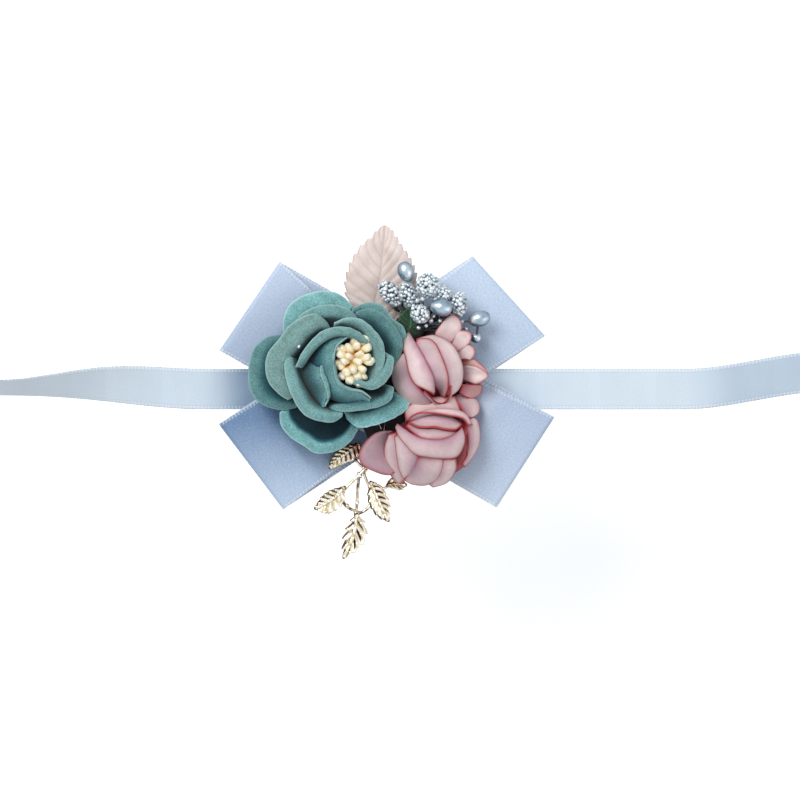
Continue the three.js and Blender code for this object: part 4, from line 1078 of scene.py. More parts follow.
# Rose petals also have how olive and how bright they are, and how far from the rim, in millimetres, their
# painted shade starts and is full.
ROSE_KEYS = CUP_KEYS + ("warm", "tone", "painted_inner_shade")
ROSE_PETALS = [dict(zip(ROSE_KEYS, row)) for row in [
    ([(348, 336), (337, 345), (333, 359), (334, 370), (339, 384), (349, 390), (363, 393), (371, 399)],
     0.94, 0.84, 0.02, 0.01, 0.1, 0.4, 0.5, 0.0, 0.86, (1.5, 7.0)),
    ([(386, 353), (393, 359), (392, 372), (384, 384), (373, 390), (361, 387), (349, 383)],
     0.86, 0.76, 0.1, 0.03, 0.06, 0.17, 0.28, 0.3, 1.05, (3.5, 7.0)),
    ([(335, 323), (346, 318.5), (363, 321), (375, 331), (383, 344), (385, 359), (381.5, 372), (374, 383)],
     0.9, 0.78, 0.04, 0.02, 0.04, 0.2, 0.25, 0.3, 1.0, (3.5, 9.0)),
    ([(329, 357), (322, 365), (321, 374.5), (326, 387), (328, 398), (324, 407)],
     0.88, 0.72, 0.04, 0.02, 0.1, 0.52, 0.42, 0.1, 0.95, (1.2, 7.0)),
    ([(296, 367), (303, 353), (315, 338), (329, 329), (345, 327.5), (358, 332), (368, 341)],
     0.93, 0.78, 0.09, 0.03, 0.05, 0.22, 0.22, 0.25, 0.95, (2.6, 6.0)),
    ([(287, 357), (285, 366), (288, 383), (295, 401), (305, 414.5), (320, 421), (333, 422), (342, 417)],
     0.74, 0.66, 0.13, 0.05, 0.05, 0.24, 0.2, 0.2, 1.04, (2.2, 4.2)),
    ([(328, 410), (345, 411.5), (363, 410), (381.5, 406), (391, 400), (394, 388)],
     0.72, 0.64, 0.1, 0.05, 0.06, 0.24, 0.2, 0.1, 1.0, (1.2, 2.8)),
    ([(327, 323), (319, 315.5), (311, 314.5), (291, 325), (278.5, 341), (269, 353), (266, 365), (269, 381),
      (278, 393), (288, 400)],
     0.62, 0.54, 0.25, 0.06, 0.04, 0.26, 0.16, 0.45, 0.95, (4.6, 7.6)),
    ([(296, 320), (307, 311), (328, 305), (346, 309), (357, 318), (362, 327)],
     0.5, 0.43, 0.12, 0.05, 0.06, 0.27, 0.14, 0.2, 1.0, (2.6, 4.2)),
    ([(357, 312), (371, 309), (385, 316), (396, 328), (402, 342), (401.5, 353), (395, 364)],
     0.5, 0.42, 0.07, 0.03, 0.07, 0.27, 0.14, 0.0, 0.7, (1.2, 5.5)),
    ([(347, 419), (358, 427), (375, 425), (394, 418), (408, 408), (410, 398)],
     0.38, 0.31, 0.12, 0.05, 0.06, 0.28, 0.1, 0.0, 1.78, (3.2, 5.0)),
    ([(353, 308), (369, 302.5), (381.5, 305), (392, 318), (403, 326), (406, 336), (402, 352)],
     0.35, 0.28, 0.1, 0.03, 0.06, 0.3, 0.08, 0.0, 0.85, (2.0, 7.0)),
    ([(280, 413), (281, 425), (291, 437.5), (305, 446), (315, 453), (327, 453), (339, 450), (351, 441),
      (358, 430)],
     0.3, 0.23, 0.14, 0.05, 0.05, 0.3, 0.06, 0.0, 1.2, (2.5, 3.8)),
    ([(281, 335), (266, 338), (254, 349), (249, 365), (249, 383), (254, 397.5), (265, 406), (282, 410),
      (295, 408)],
     0.3, 0.23, 0.22, 0.05, 0.04, 0.32, 0.04, 0.0, 0.78, (1.4, 6.5)),
    ([(283, 333), (284.5, 316), (291, 304), (305, 295), (324.5, 291), (339, 294), (349, 302), (356, 313)],
     0.28, 0.21, 0.2, 0.05, 0.05, 0.32, 0.03, 0.05, 1.3, (4.0, 8.0)),
]]
ROSE_RUFFLE = 0.6
SUEDE_RIM_SHARE = 0.4
# The stamens stand in a sunflower spread round their place, lower and leaning more further out, on stalks.
STAMEN = {
    "px": (354, 361), "height": 0.74, "spread": (4.3, 5.3), "rise": 1.4, "dome": 1.3, "count": 25,
    "lean_degrees": (38, 72), "length": 3.8, "width": 2.65, "flatness": 0.84, "bluntness": 0.5,
    "cap_share": 1.06, "taper_share": 0.4, "stalk_radius": 0.28, "stalk_drop": 5, "stalk_spread": 1.6,
}
STAMEN_SIDE = Vector((0.31, 0.77, 0.12))
# Depth and rate of the grains' crumples.
STAMEN_CRUMPLES = ((0.3, 0.7), (0.12, 2.1))
# How far each stamen strays: to either side in turn, swing and height, and between shares in the rest.
STRAY = {"turn": 0.2, "swing": 0.3, "height": 0.35, "lean": (0.8, 1.2), "size": (0.85, 1.12),
         "reach": (0.92, 1.04)}
GLINT = {"px": (300, 347), "height": 0.74, "radius": 0.62}


def rose():
    material = suede("rose_suede", "#6f9fa0", "#396b74", "#0f2731")
    pieces = []
    for i, petal in enumerate(ROSE_PETALS):
        grid = cup_grid(ROSE, petal, ROSE_RUFFLE, i)
        across = border_distances(grid)[1]
        # Painted shade that deepens from the rim towards the foot.
        painted_inner_shade = [[smooth(*petal["painted_inner_shade"], distance) for distance in row] for row in across]
        piece = shell(f"suede_petal_{i + 1}", grid, SUEDE_THICKNESS, [material], slot="rose_suede",
                      values={"warm": petal["warm"], "tone": petal["tone"], "painted_inner_shade": painted_inner_shade},
                      rim_share=SUEDE_RIM_SHARE)
        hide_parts(f"rose_petal_{i + 1}")
        pieces.append(piece)
    add_openness_for_painted_shade(pieces)
    stamens()
    glint()


def either_way(reach):
    return random.uniform(-reach, reach)


def stamen_grain(place, direction, size):
    """A blunt, crumpled seed, fuller towards its cap, and how far each corner is from the cap."""
    side = direction.cross(STAMEN_SIDE).normalized()
    other = direction.cross(side)
    length, width = STAMEN["length"] * size, STAMEN["width"] * size

    def profile(t):
        return arch(t) ** STAMEN["bluntness"] * (STAMEN["cap_share"] - STAMEN["taper_share"] * t)
    axes = (side * (width / 2), other * (width / 2 * STAMEN["flatness"]), direction * (length / 2))

    def crumpled(p):
        rise = sum(depth * noise.noise(p * rate) for depth, rate in STAMEN_CRUMPLES)
        return p + (p - place).normalized() * rise
    points, faces = ball(place, axes, rings=14, sides=18, profile=profile)
    points = [crumpled(p) for p in points]
    deep = [min(max(0.5 - (p - place).dot(direction) / STAMEN["length"], 0), 1) for p in points]
    return (points, faces), deep


def stamens():
    head = ROSE.at(STAMEN["px"])
    head.z = ROSE.z(STAMEN["height"])
    foot = head - UP * STAMEN["stalk_drop"]
    bundle = Bundle()
    for i in range(STAMEN["count"]):
        spread = math.sqrt((i + 0.5) / STAMEN["count"])
        angle = i * GOLDEN_ANGLE + either_way(STRAY["turn"])
        out = Vector((math.cos(angle), math.sin(angle), 0))
        lean = math.radians(mix(*STAMEN["lean_degrees"], spread) * random.uniform(*STRAY["lean"]))
        swing = Vector((either_way(STRAY["swing"]), either_way(STRAY["swing"]), 0))
        direction = ((out + swing) * math.sin(lean) + UP * math.cos(lean)).normalized()
        size = random.uniform(*STRAY["size"])
        reach = spread * random.uniform(*STRAY["reach"])
        place = head + Vector((out.x * STAMEN["spread"][0], out.y * STAMEN["spread"][1], 0)) * reach
        place.z += STAMEN["rise"] - spread * spread * STAMEN["dome"] + either_way(STRAY["height"])
        grain, deep = stamen_grain(place, direction, size)
        bundle.add(grain, deep=deep)
        bend = STAMEN["stalk_spread"]
        stalk = Spline([foot + out * (spread * bend), place - direction * bend, place])
        bundle.add(tube(stalk, STAMEN["stalk_radius"], sides=6, count=6), deep=1.0)
    piece = bundle.piece("stamen_bundle", [stamen_cream()], slot="stamen_cream")
    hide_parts("rose_stamens")


def glint():
    """A plain silver bead between two petals."""
    place = ROSE.at(GLINT["px"])
    place.z = ROSE.z(GLINT["height"])
    points, faces = ball(place, round_axes(GLINT["radius"]))
    new_mesh("silver_glint", points, faces, [pearl_lacquer()], slot="pearl_silver")


UPPER_PINK = Flower((429, 372), (431, 374), 74, 18.5, 11.5,
                    {"px": (439, 391), "radius_px": (6, 9), "depth": 0.35})
LOWER_PINK = Flower((433, 440), (434, 436), 86, 21.5, 12.5,
                    {"px": (435, 424), "radius_px": (24, 7), "depth": 0.22})
# Each draped petal: its free edge, its tucked edge, then the lifts of both off the ball and the puff between.
# A pink petal's last share is its tint and shade: from salmon at none through plain at a half to painted mauve
# shade at the whole, for petals that lie in shadow.
DRAPE_KEYS = ("edge_px", "tuck_px", "lift", "sink", "puff", "tint")


def draped(*rows):
    return [dict(zip(DRAPE_KEYS, row)) for row in rows]


def cupped(*rows):
    return [dict(zip(CUP_KEYS + ("tint",), row)) for row in rows]


UPPER_PINK_PETALS = draped(
    ([(409, 335), (405, 340), (405.5, 350), (408, 361), (411, 374), (416, 383), (427, 389), (433, 393)],
     [(411, 336), (414.5, 341.5), (420, 350.5), (427, 363), (433, 376), (434, 384), (434, 390)],
     0.12, 0.1, 0.05),
    ([(418, 342), (424, 341), (430.5, 342), (435.5, 346.5), (440, 355.5), (444.5, 367), (447, 377),
      (447, 388), (443.5, 396)],
     [(414, 347), (417, 355), (423, 365), (428, 374), (432, 382), (437, 389), (441, 396)],
     0.09, 0, 0.04, 0.75),
    ([(416, 340), (424, 337.5), (433.5, 336), (441, 338.7), (449.5, 343.5), (455, 350), (459.5, 359),
      (462, 368), (461.5, 381), (458, 389), (450, 396)],
     [(418, 347), (424, 346), (430, 347), (434, 351), (436, 358), (440, 368), (443, 378), (443, 388),
      (445, 395)],
     0.02, 0, 0.04),
    ([(406, 353), (399, 359), (394.5, 368), (394, 379.5), (397.5, 389), (405.5, 400.5), (414.5, 407.5),
      (426.5, 409), (432, 405)],
     [(413, 352), (411, 360), (410, 370), (413, 379), (418, 386), (423, 392), (429, 398), (432, 402)],
     0.05, -0.02, 0.04, 0.52),
) + cupped(
    ([(436, 331), (440, 326), (446, 319), (452, 315), (458, 318), (461.5, 324.5), (461, 330)],
     0.5, 0.36, 0.06, 0.04, 0.02, 0.75, 0.3),
    ([(450, 330), (459.5, 330.5), (470.5, 333), (470, 341), (466, 345)],
     0.4, 0.3, 0.06, 0.04, 0.02, 0.75, 0.22),
    ([(460, 343), (468, 344), (473, 347), (475, 351), (472, 358), (464, 359)],
     0.32, 0.24, 0.06, 0.04, 0.02, 0.75, 0.15),
    ([(463, 358), (473, 359), (480, 364), (486, 370), (488, 375), (482, 380), (474, 385)],
     0.26, 0.18, 0.06, 0.05, 0.02, 0.75, 0.08, 0.2),
)
# The low saddle of satin between the two flowers, and which petal of the lower one lies on it.
SADDLE = Flower((431, 406), (431, 406), 86, 21.5, 6.8, {"px": (431, 406), "radius_px": (6, 6), "depth": 0})
SADDLE_PETAL = 4
LOWER_PINK_PETALS = draped(
    ([(411, 423), (418, 418), (431, 417), (446, 419), (458.5, 422), (463.5, 428)],
     [(407, 421), (414.5, 417), (429.5, 412), (450.5, 411), (462, 415), (470, 426)],
     0.16, 0.07, 0.04),
    ([(398, 428), (401.5, 437), (409, 446), (416.5, 453), (426, 455.5), (443, 457), (454.5, 455.5),
      (460, 448), (462, 438), (460, 431)],
     [(401, 425), (408, 430), (415, 434.5), (422, 437.5), (434, 439), (443, 438), (450, 435), (456, 431),
      (458.5, 428)],
     0.08, 0.12, 0.07, 0.62),
    ([(410, 424), (418, 428), (425.5, 429), (434, 428.6), (444.6, 430.7), (454, 430.7), (459.5, 426)],
     [(413, 420), (420, 416), (427, 414), (434, 413), (444, 414), (453, 416), (460, 421)],
     0.1, -0.06, 0.03, 0.7),
    ([(456, 397), (463, 396.5), (473.5, 400.5), (477.5, 407), (476, 415), (469, 419)],
     [(452, 400), (455, 404), (459, 409), (462, 414), (465, 419)],
     0.06, 0.05, 0.03, 0.38),
    ([(404, 411), (411, 403), (425, 398), (440, 396), (455, 396)],
     [(407, 421), (421, 419), (438, 416), (450, 416), (463, 418)],
     0, 0.05, 0.02, 0.34),
    ([(455, 457), (455.5, 466), (452, 474), (446, 481), (433, 485.5)],
     [(440, 457), (440, 465), (438, 472), (434, 477), (427, 482)],
     0.04, 0.02, 0.02),
    ([(471, 418), (475, 419.5), (478.5, 431), (477.5, 444.5), (471, 457), (463, 467)],
     [(464, 420), (466, 427), (467.5, 435), (467.5, 446), (466, 456), (461, 464)],
     0.03, 0, 0.03, 0.4),
    ([(443.5, 457), (443, 466), (440, 474), (436, 479), (430, 482.5), (424, 484), (413, 483), (406, 480)],
     [(422, 454), (419, 456), (416, 460), (413, 465), (410, 469), (407, 474), (404, 478)],
     0.03, -0.02, 0.03, 0.66),
    ([(391, 434), (387, 446), (387, 458), (391, 471), (397, 480), (402, 482.5)],
     [(396, 432), (399, 446), (401, 458), (403, 468), (404.5, 474), (406, 480)],
     0.05, -0.02, 0.02, 0.6),
    ([(395, 436), (396.5, 448), (398, 460), (400, 470), (404.5, 479)],
     [(402, 432), (410, 441), (419, 450), (417, 462), (411, 472.5)],
     0.02, -0.02, 0.03, 0.62),
) + cupped(
    ([(390, 431), (376, 433), (366, 441), (360, 451), (359, 458.5), (362.5, 465), (375, 471.7),
      (384, 474.6), (391, 475)],
     0.34, 0.26, 0.12, 0.06, 0.02, 0.75, 0.05, 0.97),
)
# Folds that lie between the petals, and whether their crimson side shows.
LOOSE_FOLDS = [
    ("upper_pink_rim", UPPER_PINK, False, draped(
        ([(424.5, 388.5), (430, 393.5), (434, 397.3), (439, 399.3), (444, 397.3), (446.8, 391), (447, 384)],
         [(423.5, 391.5), (429, 397.5), (434, 401.5), (440, 403.5), (446, 401.5), (450, 394), (450.5, 385)],
         0.14, 0.05, 0.01))),
    ("upper_pink_front", UPPER_PINK, False, cupped(
        ([(463, 366), (473, 366.5), (481, 369.5), (488, 376), (483, 381), (476, 384)],
         0.32, 0.24, 0.06, 0.05, 0.02, 0.75, 0.12))),
    ("upper_pink_lining", UPPER_PINK, False, draped(
        ([(473.5, 383.5), (477.5, 384), (477.5, 389), (476.5, 392), (468, 396), (461, 394)],
         [(461, 384), (461, 386), (460, 388), (459.4, 390), (459, 391), (458, 392)],
         0.13, 0.02, 0.02, 0.0))),
    ("lower_pink_lip", LOWER_PINK, False, draped(
        ([(406, 427), (414, 434), (422, 439), (434, 441), (446, 440), (456, 436)],
         [(410, 420), (418, 424), (425.5, 425), (434, 425), (444.6, 427), (456, 425)],
         0.02, -0.03, 0.03, 0.8))),
    ("lower_pink_lining", LOWER_PINK, True, draped(
        ([(466.5, 434), (467.3, 447), (466.5, 459), (462.5, 468), (454.5, 473.6)],
         [(461, 434), (460, 446), (456, 455), (454, 462), (450, 468)],
         -0.03, -0.05, 0.02))),
    ("lower_pink_pocket", LOWER_PINK, True, draped(
        ([(468.5, 424), (469, 430), (467.5, 435), (463, 437)],
         [(463, 416), (461, 422), (459, 428), (459, 432)],
         -0.01, -0.03, 0.01))),
]
PINK_CORE_MARGIN = 2.1
PINK_CORE_FOLDS = 9
PINK_CORE_FOLD_DEPTH = 0.05
PINK_CORE_TWIST = 3
PLAIN_TINT = 0.5
# Further from an edge than any material looks.
NO_EDGE = 9.0


def pink_core(name, flower, material, node):
    """Bunched satin in the heart of a flower: a low ball with folds gathered to its top."""
    points, faces = ball(Vector(), round_axes(1), rings=24, sides=54)
    shaped = []
    for p in points:
        turn = math.atan2(p.y, p.x)
        fold = 1 + PINK_CORE_FOLD_DEPTH * math.cos(PINK_CORE_FOLDS * turn + PINK_CORE_TWIST * p.z)
        across = (flower.radius - PINK_CORE_MARGIN) * fold
        up = (flower.height - PINK_CORE_MARGIN) * max(p.z, 0)
        shaped.append(Vector((flower.centre.x + p.x * across, flower.centre.y + p.y * across, FLOWER_Z + up)))
    heart = Bundle()
    heart.add((shaped, faces), edge=NO_EDGE, deep=0.6, tint=PLAIN_TINT)
    piece = heart.piece(name, [material], slot="pink_satin")
    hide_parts(node)
    return piece


def petal_piece(name, flower, petal, materials):
    """A satin petal whose first material faces up where it shows."""
    grid = draped_grid(flower, petal) if "edge_px" in petal else cup_grid(flower, petal)
    shown = grid_normals([row[1:6] for row in grid])
    if sum(normal.z for row in shown for normal in row) < 0:
        grid = grid[::-1]
    return shell(name, grid, PETAL_SATIN_THICKNESS, materials, values={"tint": petal.get("tint", PLAIN_TINT)},
                 slot="pink_satin")


def pink_flower(name, flower, petals, outside, inside):
    pieces = [pink_core(f"{name}_heart", flower, inside, f"{name}_core")]
    for i, petal in enumerate(petals):
        ball_of = SADDLE if flower is LOWER_PINK and i == SADDLE_PETAL else flower
        piece = petal_piece(f"{name}_satin_{i + 1}", ball_of, petal, [outside, inside])
        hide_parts(f"{name}_petal_{i + 1}")
        pieces.append(piece)
    return pieces


def pink_flowers():
    # The third colour of each is that of its painted shade.
    outside = petal_satin("petal_satin", "#eedcd9", "#e0c1c4", "#bd9ca8", "#ab3640")
    inside = petal_satin("petal_satin_inside", "#a8474c", "#7e2a30", "#5e171c", "#8e2428", 0.5)
    pieces = pink_flower("upper_pink", UPPER_PINK, UPPER_PINK_PETALS, outside, inside)
    pieces += pink_flower("lower_pink", LOWER_PINK, LOWER_PINK_PETALS, outside, inside)
    for name, flower, is_crimson, (petal,) in LOOSE_FOLDS:
        pieces.append(petal_piece(name, flower, petal, [inside if is_crimson else outside, inside]))
    add_openness_for_painted_shade(pieces)


# Berries
WRAP_PX = (414, 331)
WRAP_RADIUS = 2.2
WRAP_TURNS = {"depth": 0.05, "rate": 5}
BERRY_BASE_Z = FLOWER_Z + WRAP_RADIUS
# The place, height, three sizes and turn in plan of each twig's berries.
TWIGS = [
    ("pearl_berry_1", [((406, 272), 11, (4.1, 5.2, 4.1), 20)]),
    ("pearl_berry_2", [((441, 308), 15.2, (5.6, 4.4, 4.4), -8)]),
    ("pearl_berry_3", [((479, 319), 10.5, (5.6, 4, 4), 12), ((476, 338), 8.6, (2.8, 2.6, 2.6), 0)]),
    ("sugared_bud_1", [((390, 294), 9.6, (7.4, 4, 4), -50)]),
    ("sugared_bud_2", [((408, 295), 11, (3.6, 6.2, 3.6), 10)]),
    ("sugared_bud_3", [((428, 286), 12.2, (5.4, 6, 5), 0), ((444, 294), 12, (3, 3.4, 3), 0),
                       ((459, 304), 11.6, (3.2, 5.6, 3.2), 0)]),
    ("sugared_bud_4", [((420, 314), 13.4, (4.2, 4.4, 4.2), 0)]),
]
WIRE = {"radius": 0.3, "sag": 0.5, "twist": 0.8, "twist_depth": 0.18, "twist_rings": 6, "sides": 8}
PEARL = {"fullness": 0.8, "neck_share": 0.22, "neck_start": 0.45}
SUGAR = {"radius": 0.66, "spacing": 0.98, "sizes": (0.62, 1.3), "depths": (0.84, 0.96), "jitter": 0.1,
         "core_share": 0.86, "groove": 0.85, "groove_span": (-0.15, 0.75)}


def berry_axes(size, degrees):
    along, side = along_and_across(degrees)
    return along * (size[0] / 2), side * (size[1] / 2), UP * (size[2] / 2)


def pearl(centre, axes):
    """A pearl with a drawn-out neck at one end of its longer side, and no painted shade on it."""
    along, side, up = axes
    long_way, other = (along, side) if along.length >= side.length else (side, along)

    def profile(t):
        return arch(t) ** PEARL["fullness"] * (1 - PEARL["neck_share"] * smooth(PEARL["neck_start"], 1, t))
    return ball(centre, (other, up, long_way), rings=24, sides=28, profile=profile), 0.0


def sugared(centre, axes):
    """Sugar grains set evenly round a small core, and the painted shade in the gaps between them."""
    a, b, c = (axis.length for axis in axes)
    area = 4 * math.pi * (a * b + b * c + a * c) / 3
    count = int(area / SUGAR["spacing"] ** 2)
    bud = Bundle()
    # The core is painted fully in shade, and each grain on its inner side.
    bud.add(ball(centre, [axis * SUGAR["core_share"] for axis in axes]), groove=1.0)
    for i in range(count):
        up = 1 - 2 * (i + 0.5) / count
        ring = math.sqrt(1 - up * up)
        around = axes[0] * math.cos(i * GOLDEN_ANGLE) + axes[1] * math.sin(i * GOLDEN_ANGLE)
        direction = around * ring + axes[2] * up
        radius = SUGAR["radius"] * random.uniform(*SUGAR["sizes"])
        place = centre + direction * random.uniform(*SUGAR["depths"])
        jitter = Vector([either_way(SUGAR["jitter"]) for _ in range(3)])
        grain = ball(place + jitter, round_axes(radius), rings=5, sides=7)
        out = direction.normalized()
        bared = [smooth(*SUGAR["groove_span"], (p - place).dot(out) / radius) for p in grain[0]]
        bud.add(grain, groove=[SUGAR["groove"] * (1 - share) for share in bared])
    return (bud.points, bud.faces), bud.values["groove"]


def wire_route(start, end):
    return Spline([start, (start + end) / 2 + UP * WIRE["sag"], end])


def wire(start, end):
    """Twisted binding wire between two places."""
    route = wire_route(start, end)
    twists = route.length / WIRE["twist"]

    def radius(share):
        return WIRE["radius"] * (1 + WIRE["twist_depth"] * math.sin(share * twists * 2 * math.pi))
    return tube(route, radius, WIRE["sides"], int(twists * WIRE["twist_rings"]))


def berries():
    """Berries on wires. A twig's first wire runs to the taped bundle, and its others to its first berry."""
    sugar_finish = sugar_lacquer()
    wire_finish = plain_fibre("wire_lacquer", "#48545c", "#14191d", 0.4, 0.4)
    kinds = {"pearl": (pearl, pearl_lacquer(), "pearl_silver"),
             "sugared": (sugared, sugar_finish, "sugar_silver")}
    for name, row in TWIGS:
        berry, finish, slot = kinds[name.split("_")[0]]
        twig = Bundle()
        start = from_picture(WRAP_PX, BERRY_BASE_Z)
        for i, (px, z, size, degrees) in enumerate(row):
            centre = from_picture(px, z)
            mesh, groove = berry(centre, berry_axes(size, degrees))
            twig.add(mesh, groove=groove)
            twig.add(wire(start, centre), 1, groove=0.3)
            start = centre if i == 0 else start
        piece = twig.piece(name + "_cluster", [finish, wire_finish], slot=slot)
        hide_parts(name)
    berry_beads(sugar_finish, wire_finish)
    berry_depths()
    stem_wrap()


# Small beads and loose grains between the berries, by place, height and size, and their thin wires.
BEADS = [
    ((418.5, 328), 12.6, 1.1), ((426, 326), 12.8, 1.0), ((431, 321), 13.0, 1.2), ((440, 321), 12.6, 1.1),
    ((462, 322), 11.0, 1.0), ((466, 329), 10.2, 0.9), ((417, 301), 11.4, 1.5), ((399, 303), 10.2, 1.4),
    ((435, 299), 12.0, 1.4), ((450, 299), 11.4, 1.2), ((423, 299), 11.8, 1.6), ((413, 306), 11.6, 1.3),
    ((433, 316), 12.4, 1.2), ((452, 316), 11.8, 1.1), ((397, 287), 9.6, 1.2),
]
BEAD_WIRE_RADIUS = 0.16


def berry_beads(finish, wire_finish):
    beads = Bundle()
    root = from_picture(WRAP_PX, BERRY_BASE_Z)
    for px, z, size in BEADS:
        place = from_picture(px, z)
        beads.add(ball(place, round_axes(size / 2), rings=8, sides=10), groove=0.1)
        beads.add(tube(wire_route(place, root), BEAD_WIRE_RADIUS, sides=6, count=10), 1, groove=0.1)
    beads.piece("berry_beads", [finish, wire_finish], slot="sugar_silver")


# Where the buds of painted shade lie. Above the slope from one top to the other they would show beside the
# berries.
SHADE_BUDS = {"count": 90, "x_px": (398, 458), "y_px": (294, 336), "tops_px": (292, 314), "z": (7.6, 9.4),
          "radius": (0.8, 1.5), "crumple": 0.2, "crumple_rate": 1.4}


def berry_depths():
    """Near-black buds and leaf scraps, standing for the shade in the hollow under the berries."""
    finish = plain_fibre("berry_depths", "#15181d", "#050608", 0.8, 0.6, 0.15)
    buds = Bundle()
    start, end = SHADE_BUDS["x_px"]
    for _ in range(SHADE_BUDS["count"]):
        px = (random.uniform(start, end), random.uniform(*SHADE_BUDS["y_px"]))
        if px[1] < mix(*SHADE_BUDS["tops_px"], (px[0] - start) / (end - start)):
            continue
        axes = round_axes(random.uniform(*SHADE_BUDS["radius"]))
        buds.add(ball(from_picture(px, random.uniform(*SHADE_BUDS["z"])), axes, rings=7, sides=9))
    rate = SHADE_BUDS["crumple_rate"]
    points = [p + UP * (SHADE_BUDS["crumple"] * noise.noise(p * rate)) for p in buds.points]
    new_mesh("berry_depths", points, buds.faces, [finish], slot="stem_green")


def stem_wrap():
    """Taped bundle that the wires run into, with the tape's turns raised."""
    centre = from_picture(WRAP_PX, BERRY_BASE_Z)
    points, faces = ball(centre, round_axes(WRAP_RADIUS), rings=26, sides=30)
    turned = []
    for p in points:
        offset = p - centre
        turn = math.atan2(offset.y, offset.x)
        ridge = WRAP_TURNS["depth"] * math.sin(offset.z * WRAP_TURNS["rate"] + turn)
        turned.append(centre + offset * (1 + ridge))
    tape = plain_fibre("stem_tape", "#1d3a27", "#0a140e", 0.7)
    piece = new_mesh("taped_stems", turned, faces, [tape], slot="stem_green")
    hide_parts("berry_stem_wrap")


# Leaves, each lofted between its two sides, from its tip to its stalk. A span says where something rises and
# fades: teeth and veins from tip to stalk, and the cloth's puffs from the midrib to the side.
TEETH_SPAN = (0.02, 0.08, 0.86, 0.96)
VEIN_SPAN = (0.0, 0.08, 0.9, 1.0)
PUFF_SPAN = (0.02, 0.25, 0.85, 1.0)
# Of each pressed leaf the height of its stalk, then what its tip, its sides and its puffs add, the depth,
# width and tone of its midrib, and the width and tone of its side veins, which thin out where it fades.
PRESSED_LEAVES = {
    "pressed_leaf": {
        "node": "pink_leaf", "slot": "leaf_pink", "cloth": ("leaf_cloth", "#ebdbd5", "#d6c3bb", "#bda79f"),
        "sides_px": [
            [(384, 225), (380, 227.3), (371, 237), (361.5, 245.5), (352.7, 258), (347.5, 271), (345, 284),
             (347, 299), (356, 310), (372, 317), (392, 324)],
            [(385.5, 225), (390, 228), (396, 236), (402, 246), (408.5, 255), (413, 264), (417, 277),
             (417, 290), (412, 305), (407, 314), (400, 326)]],
        "midrib_px": [(384.7, 225.2), (384, 240), (382, 258), (380, 276), (377, 292), (375, 303), (384, 316),
                      (396, 325)],
        "veins": 10, "slant": 0.24, "teeth": 14, "tooth": 0.75, "steps": (200, 26),
        "root_z": GLUE_Z + LEAF_THICKNESS, "tip_rise": 1.6, "arch": 0.75, "fold": 0.0, "puff": 0.24,
        "rib": (0.12, 0.3, 0.55), "vein": (0.12, 0.5), "fades": True,
    },
    "small_green_leaf": {
        "node": "green_leaf", "slot": "leaf_green",
        "cloth": ("green_leaf_cloth", "#1c3f28", "#102817", "#41754c"),
        "sides_px": [[(409, 308), (402, 313), (398, 321), (399, 330), (406, 341)],
                     [(409, 308), (415.5, 314), (418, 323), (415, 333), (406, 341)]],
        "midrib_px": [(409, 308), (411, 318), (409.5, 330), (406, 341)],
        "veins": 9, "slant": 0.2, "teeth": 7, "tooth": 0.25, "steps": (90, 12),
        "root_z": FLOWER_Z + 3.4, "tip_rise": 0.8, "arch": 0.0, "fold": 0.3, "puff": 0.1,
        "rib": (0.0, 0.22, 0.9), "vein": (0.16, 0.45), "fades": False,
    },
}
# Of each cast leaf its two sides and its midrib, then the number and slant of its veins, the number and depth
# of its teeth, how rusty it is, and how dark the slots between its veins are on either side.
SPRIG_KEYS = ("sides_px", "midrib_px", "veins", "slant", "teeth", "tooth", "rust", "slots")
SPRIG_LEAVES = [dict(zip(SPRIG_KEYS, row)) for row in [
    ([[(329, 469), (330, 461), (335, 452), (344, 446), (360, 443)],
      [(329, 469), (336, 467), (346, 463), (356, 459), (361, 450), (360, 443)]],
     [(329, 469), (335, 461), (346, 453), (360, 443)], 8, 0.16, 8, 0.2, 0.9, (1.0, 0.7)),
    ([[(314, 509), (319, 500), (322, 496), (331, 490), (345, 486)],
      [(314, 509), (326, 514), (335, 511), (341, 506), (344.5, 499), (345, 486)]],
     [(314, 509), (324, 504), (335, 497), (345, 486)], 7, 0.16, 7, 0.3, 0.0, (1.0, 0.12)),
    ([[(343, 559), (343, 548), (344, 536), (349, 525), (357, 513)],
      [(343, 559), (354, 552), (363, 543), (366, 532), (364, 523), (357, 513)]],
     [(343, 559), (349, 546), (354, 532), (357, 513)], 5, 0.3, 5, 1.0, 0.0, (0.5, 1.0)),
    ([[(389, 522), (379, 518), (372, 510), (368, 500), (368, 489), (370, 481)],
      [(389, 522), (390, 506), (386, 494), (380, 485), (370, 481)]],
     [(389, 522), (383, 510), (377, 497), (370, 481)], 7, 0.2, 7, 0.35, 0.05, (0.12, 1.0)),
    ([[(407, 485), (399, 477), (390, 479), (386, 486)], [(407, 485), (402, 490), (393, 489), (386, 486)]],
     [(407, 485), (400, 484), (393, 484), (386, 486)], 5, 0.2, 5, 0.2, 0.6, (0.6, 0.6)),
]]
SPRIG_Z = GLUE_Z + 0.45
SPRIG_LEAF_STEPS = (110, 15)
SPRIG_LEAF_THICKNESS = 0.5
SPRIG_RIM_SPAN = (0.76, 0.9)
SLOT_SPAN = (0.12, 0.2, 0.68, 0.8)
SLOT_EDGE = (0.2, 0.3)
# Heights of a cast leaf's midrib, side veins, rim and bow, and the creases beside its midrib.
SPRIG_RELIEF = {"rib": 0.3, "rib_width": 0.2, "veins": 0.26, "rim": 0.16, "bow": 0.3}
SPRIG_CREASE = {"tone": 0.75, "place": 0.34, "width": 0.1}
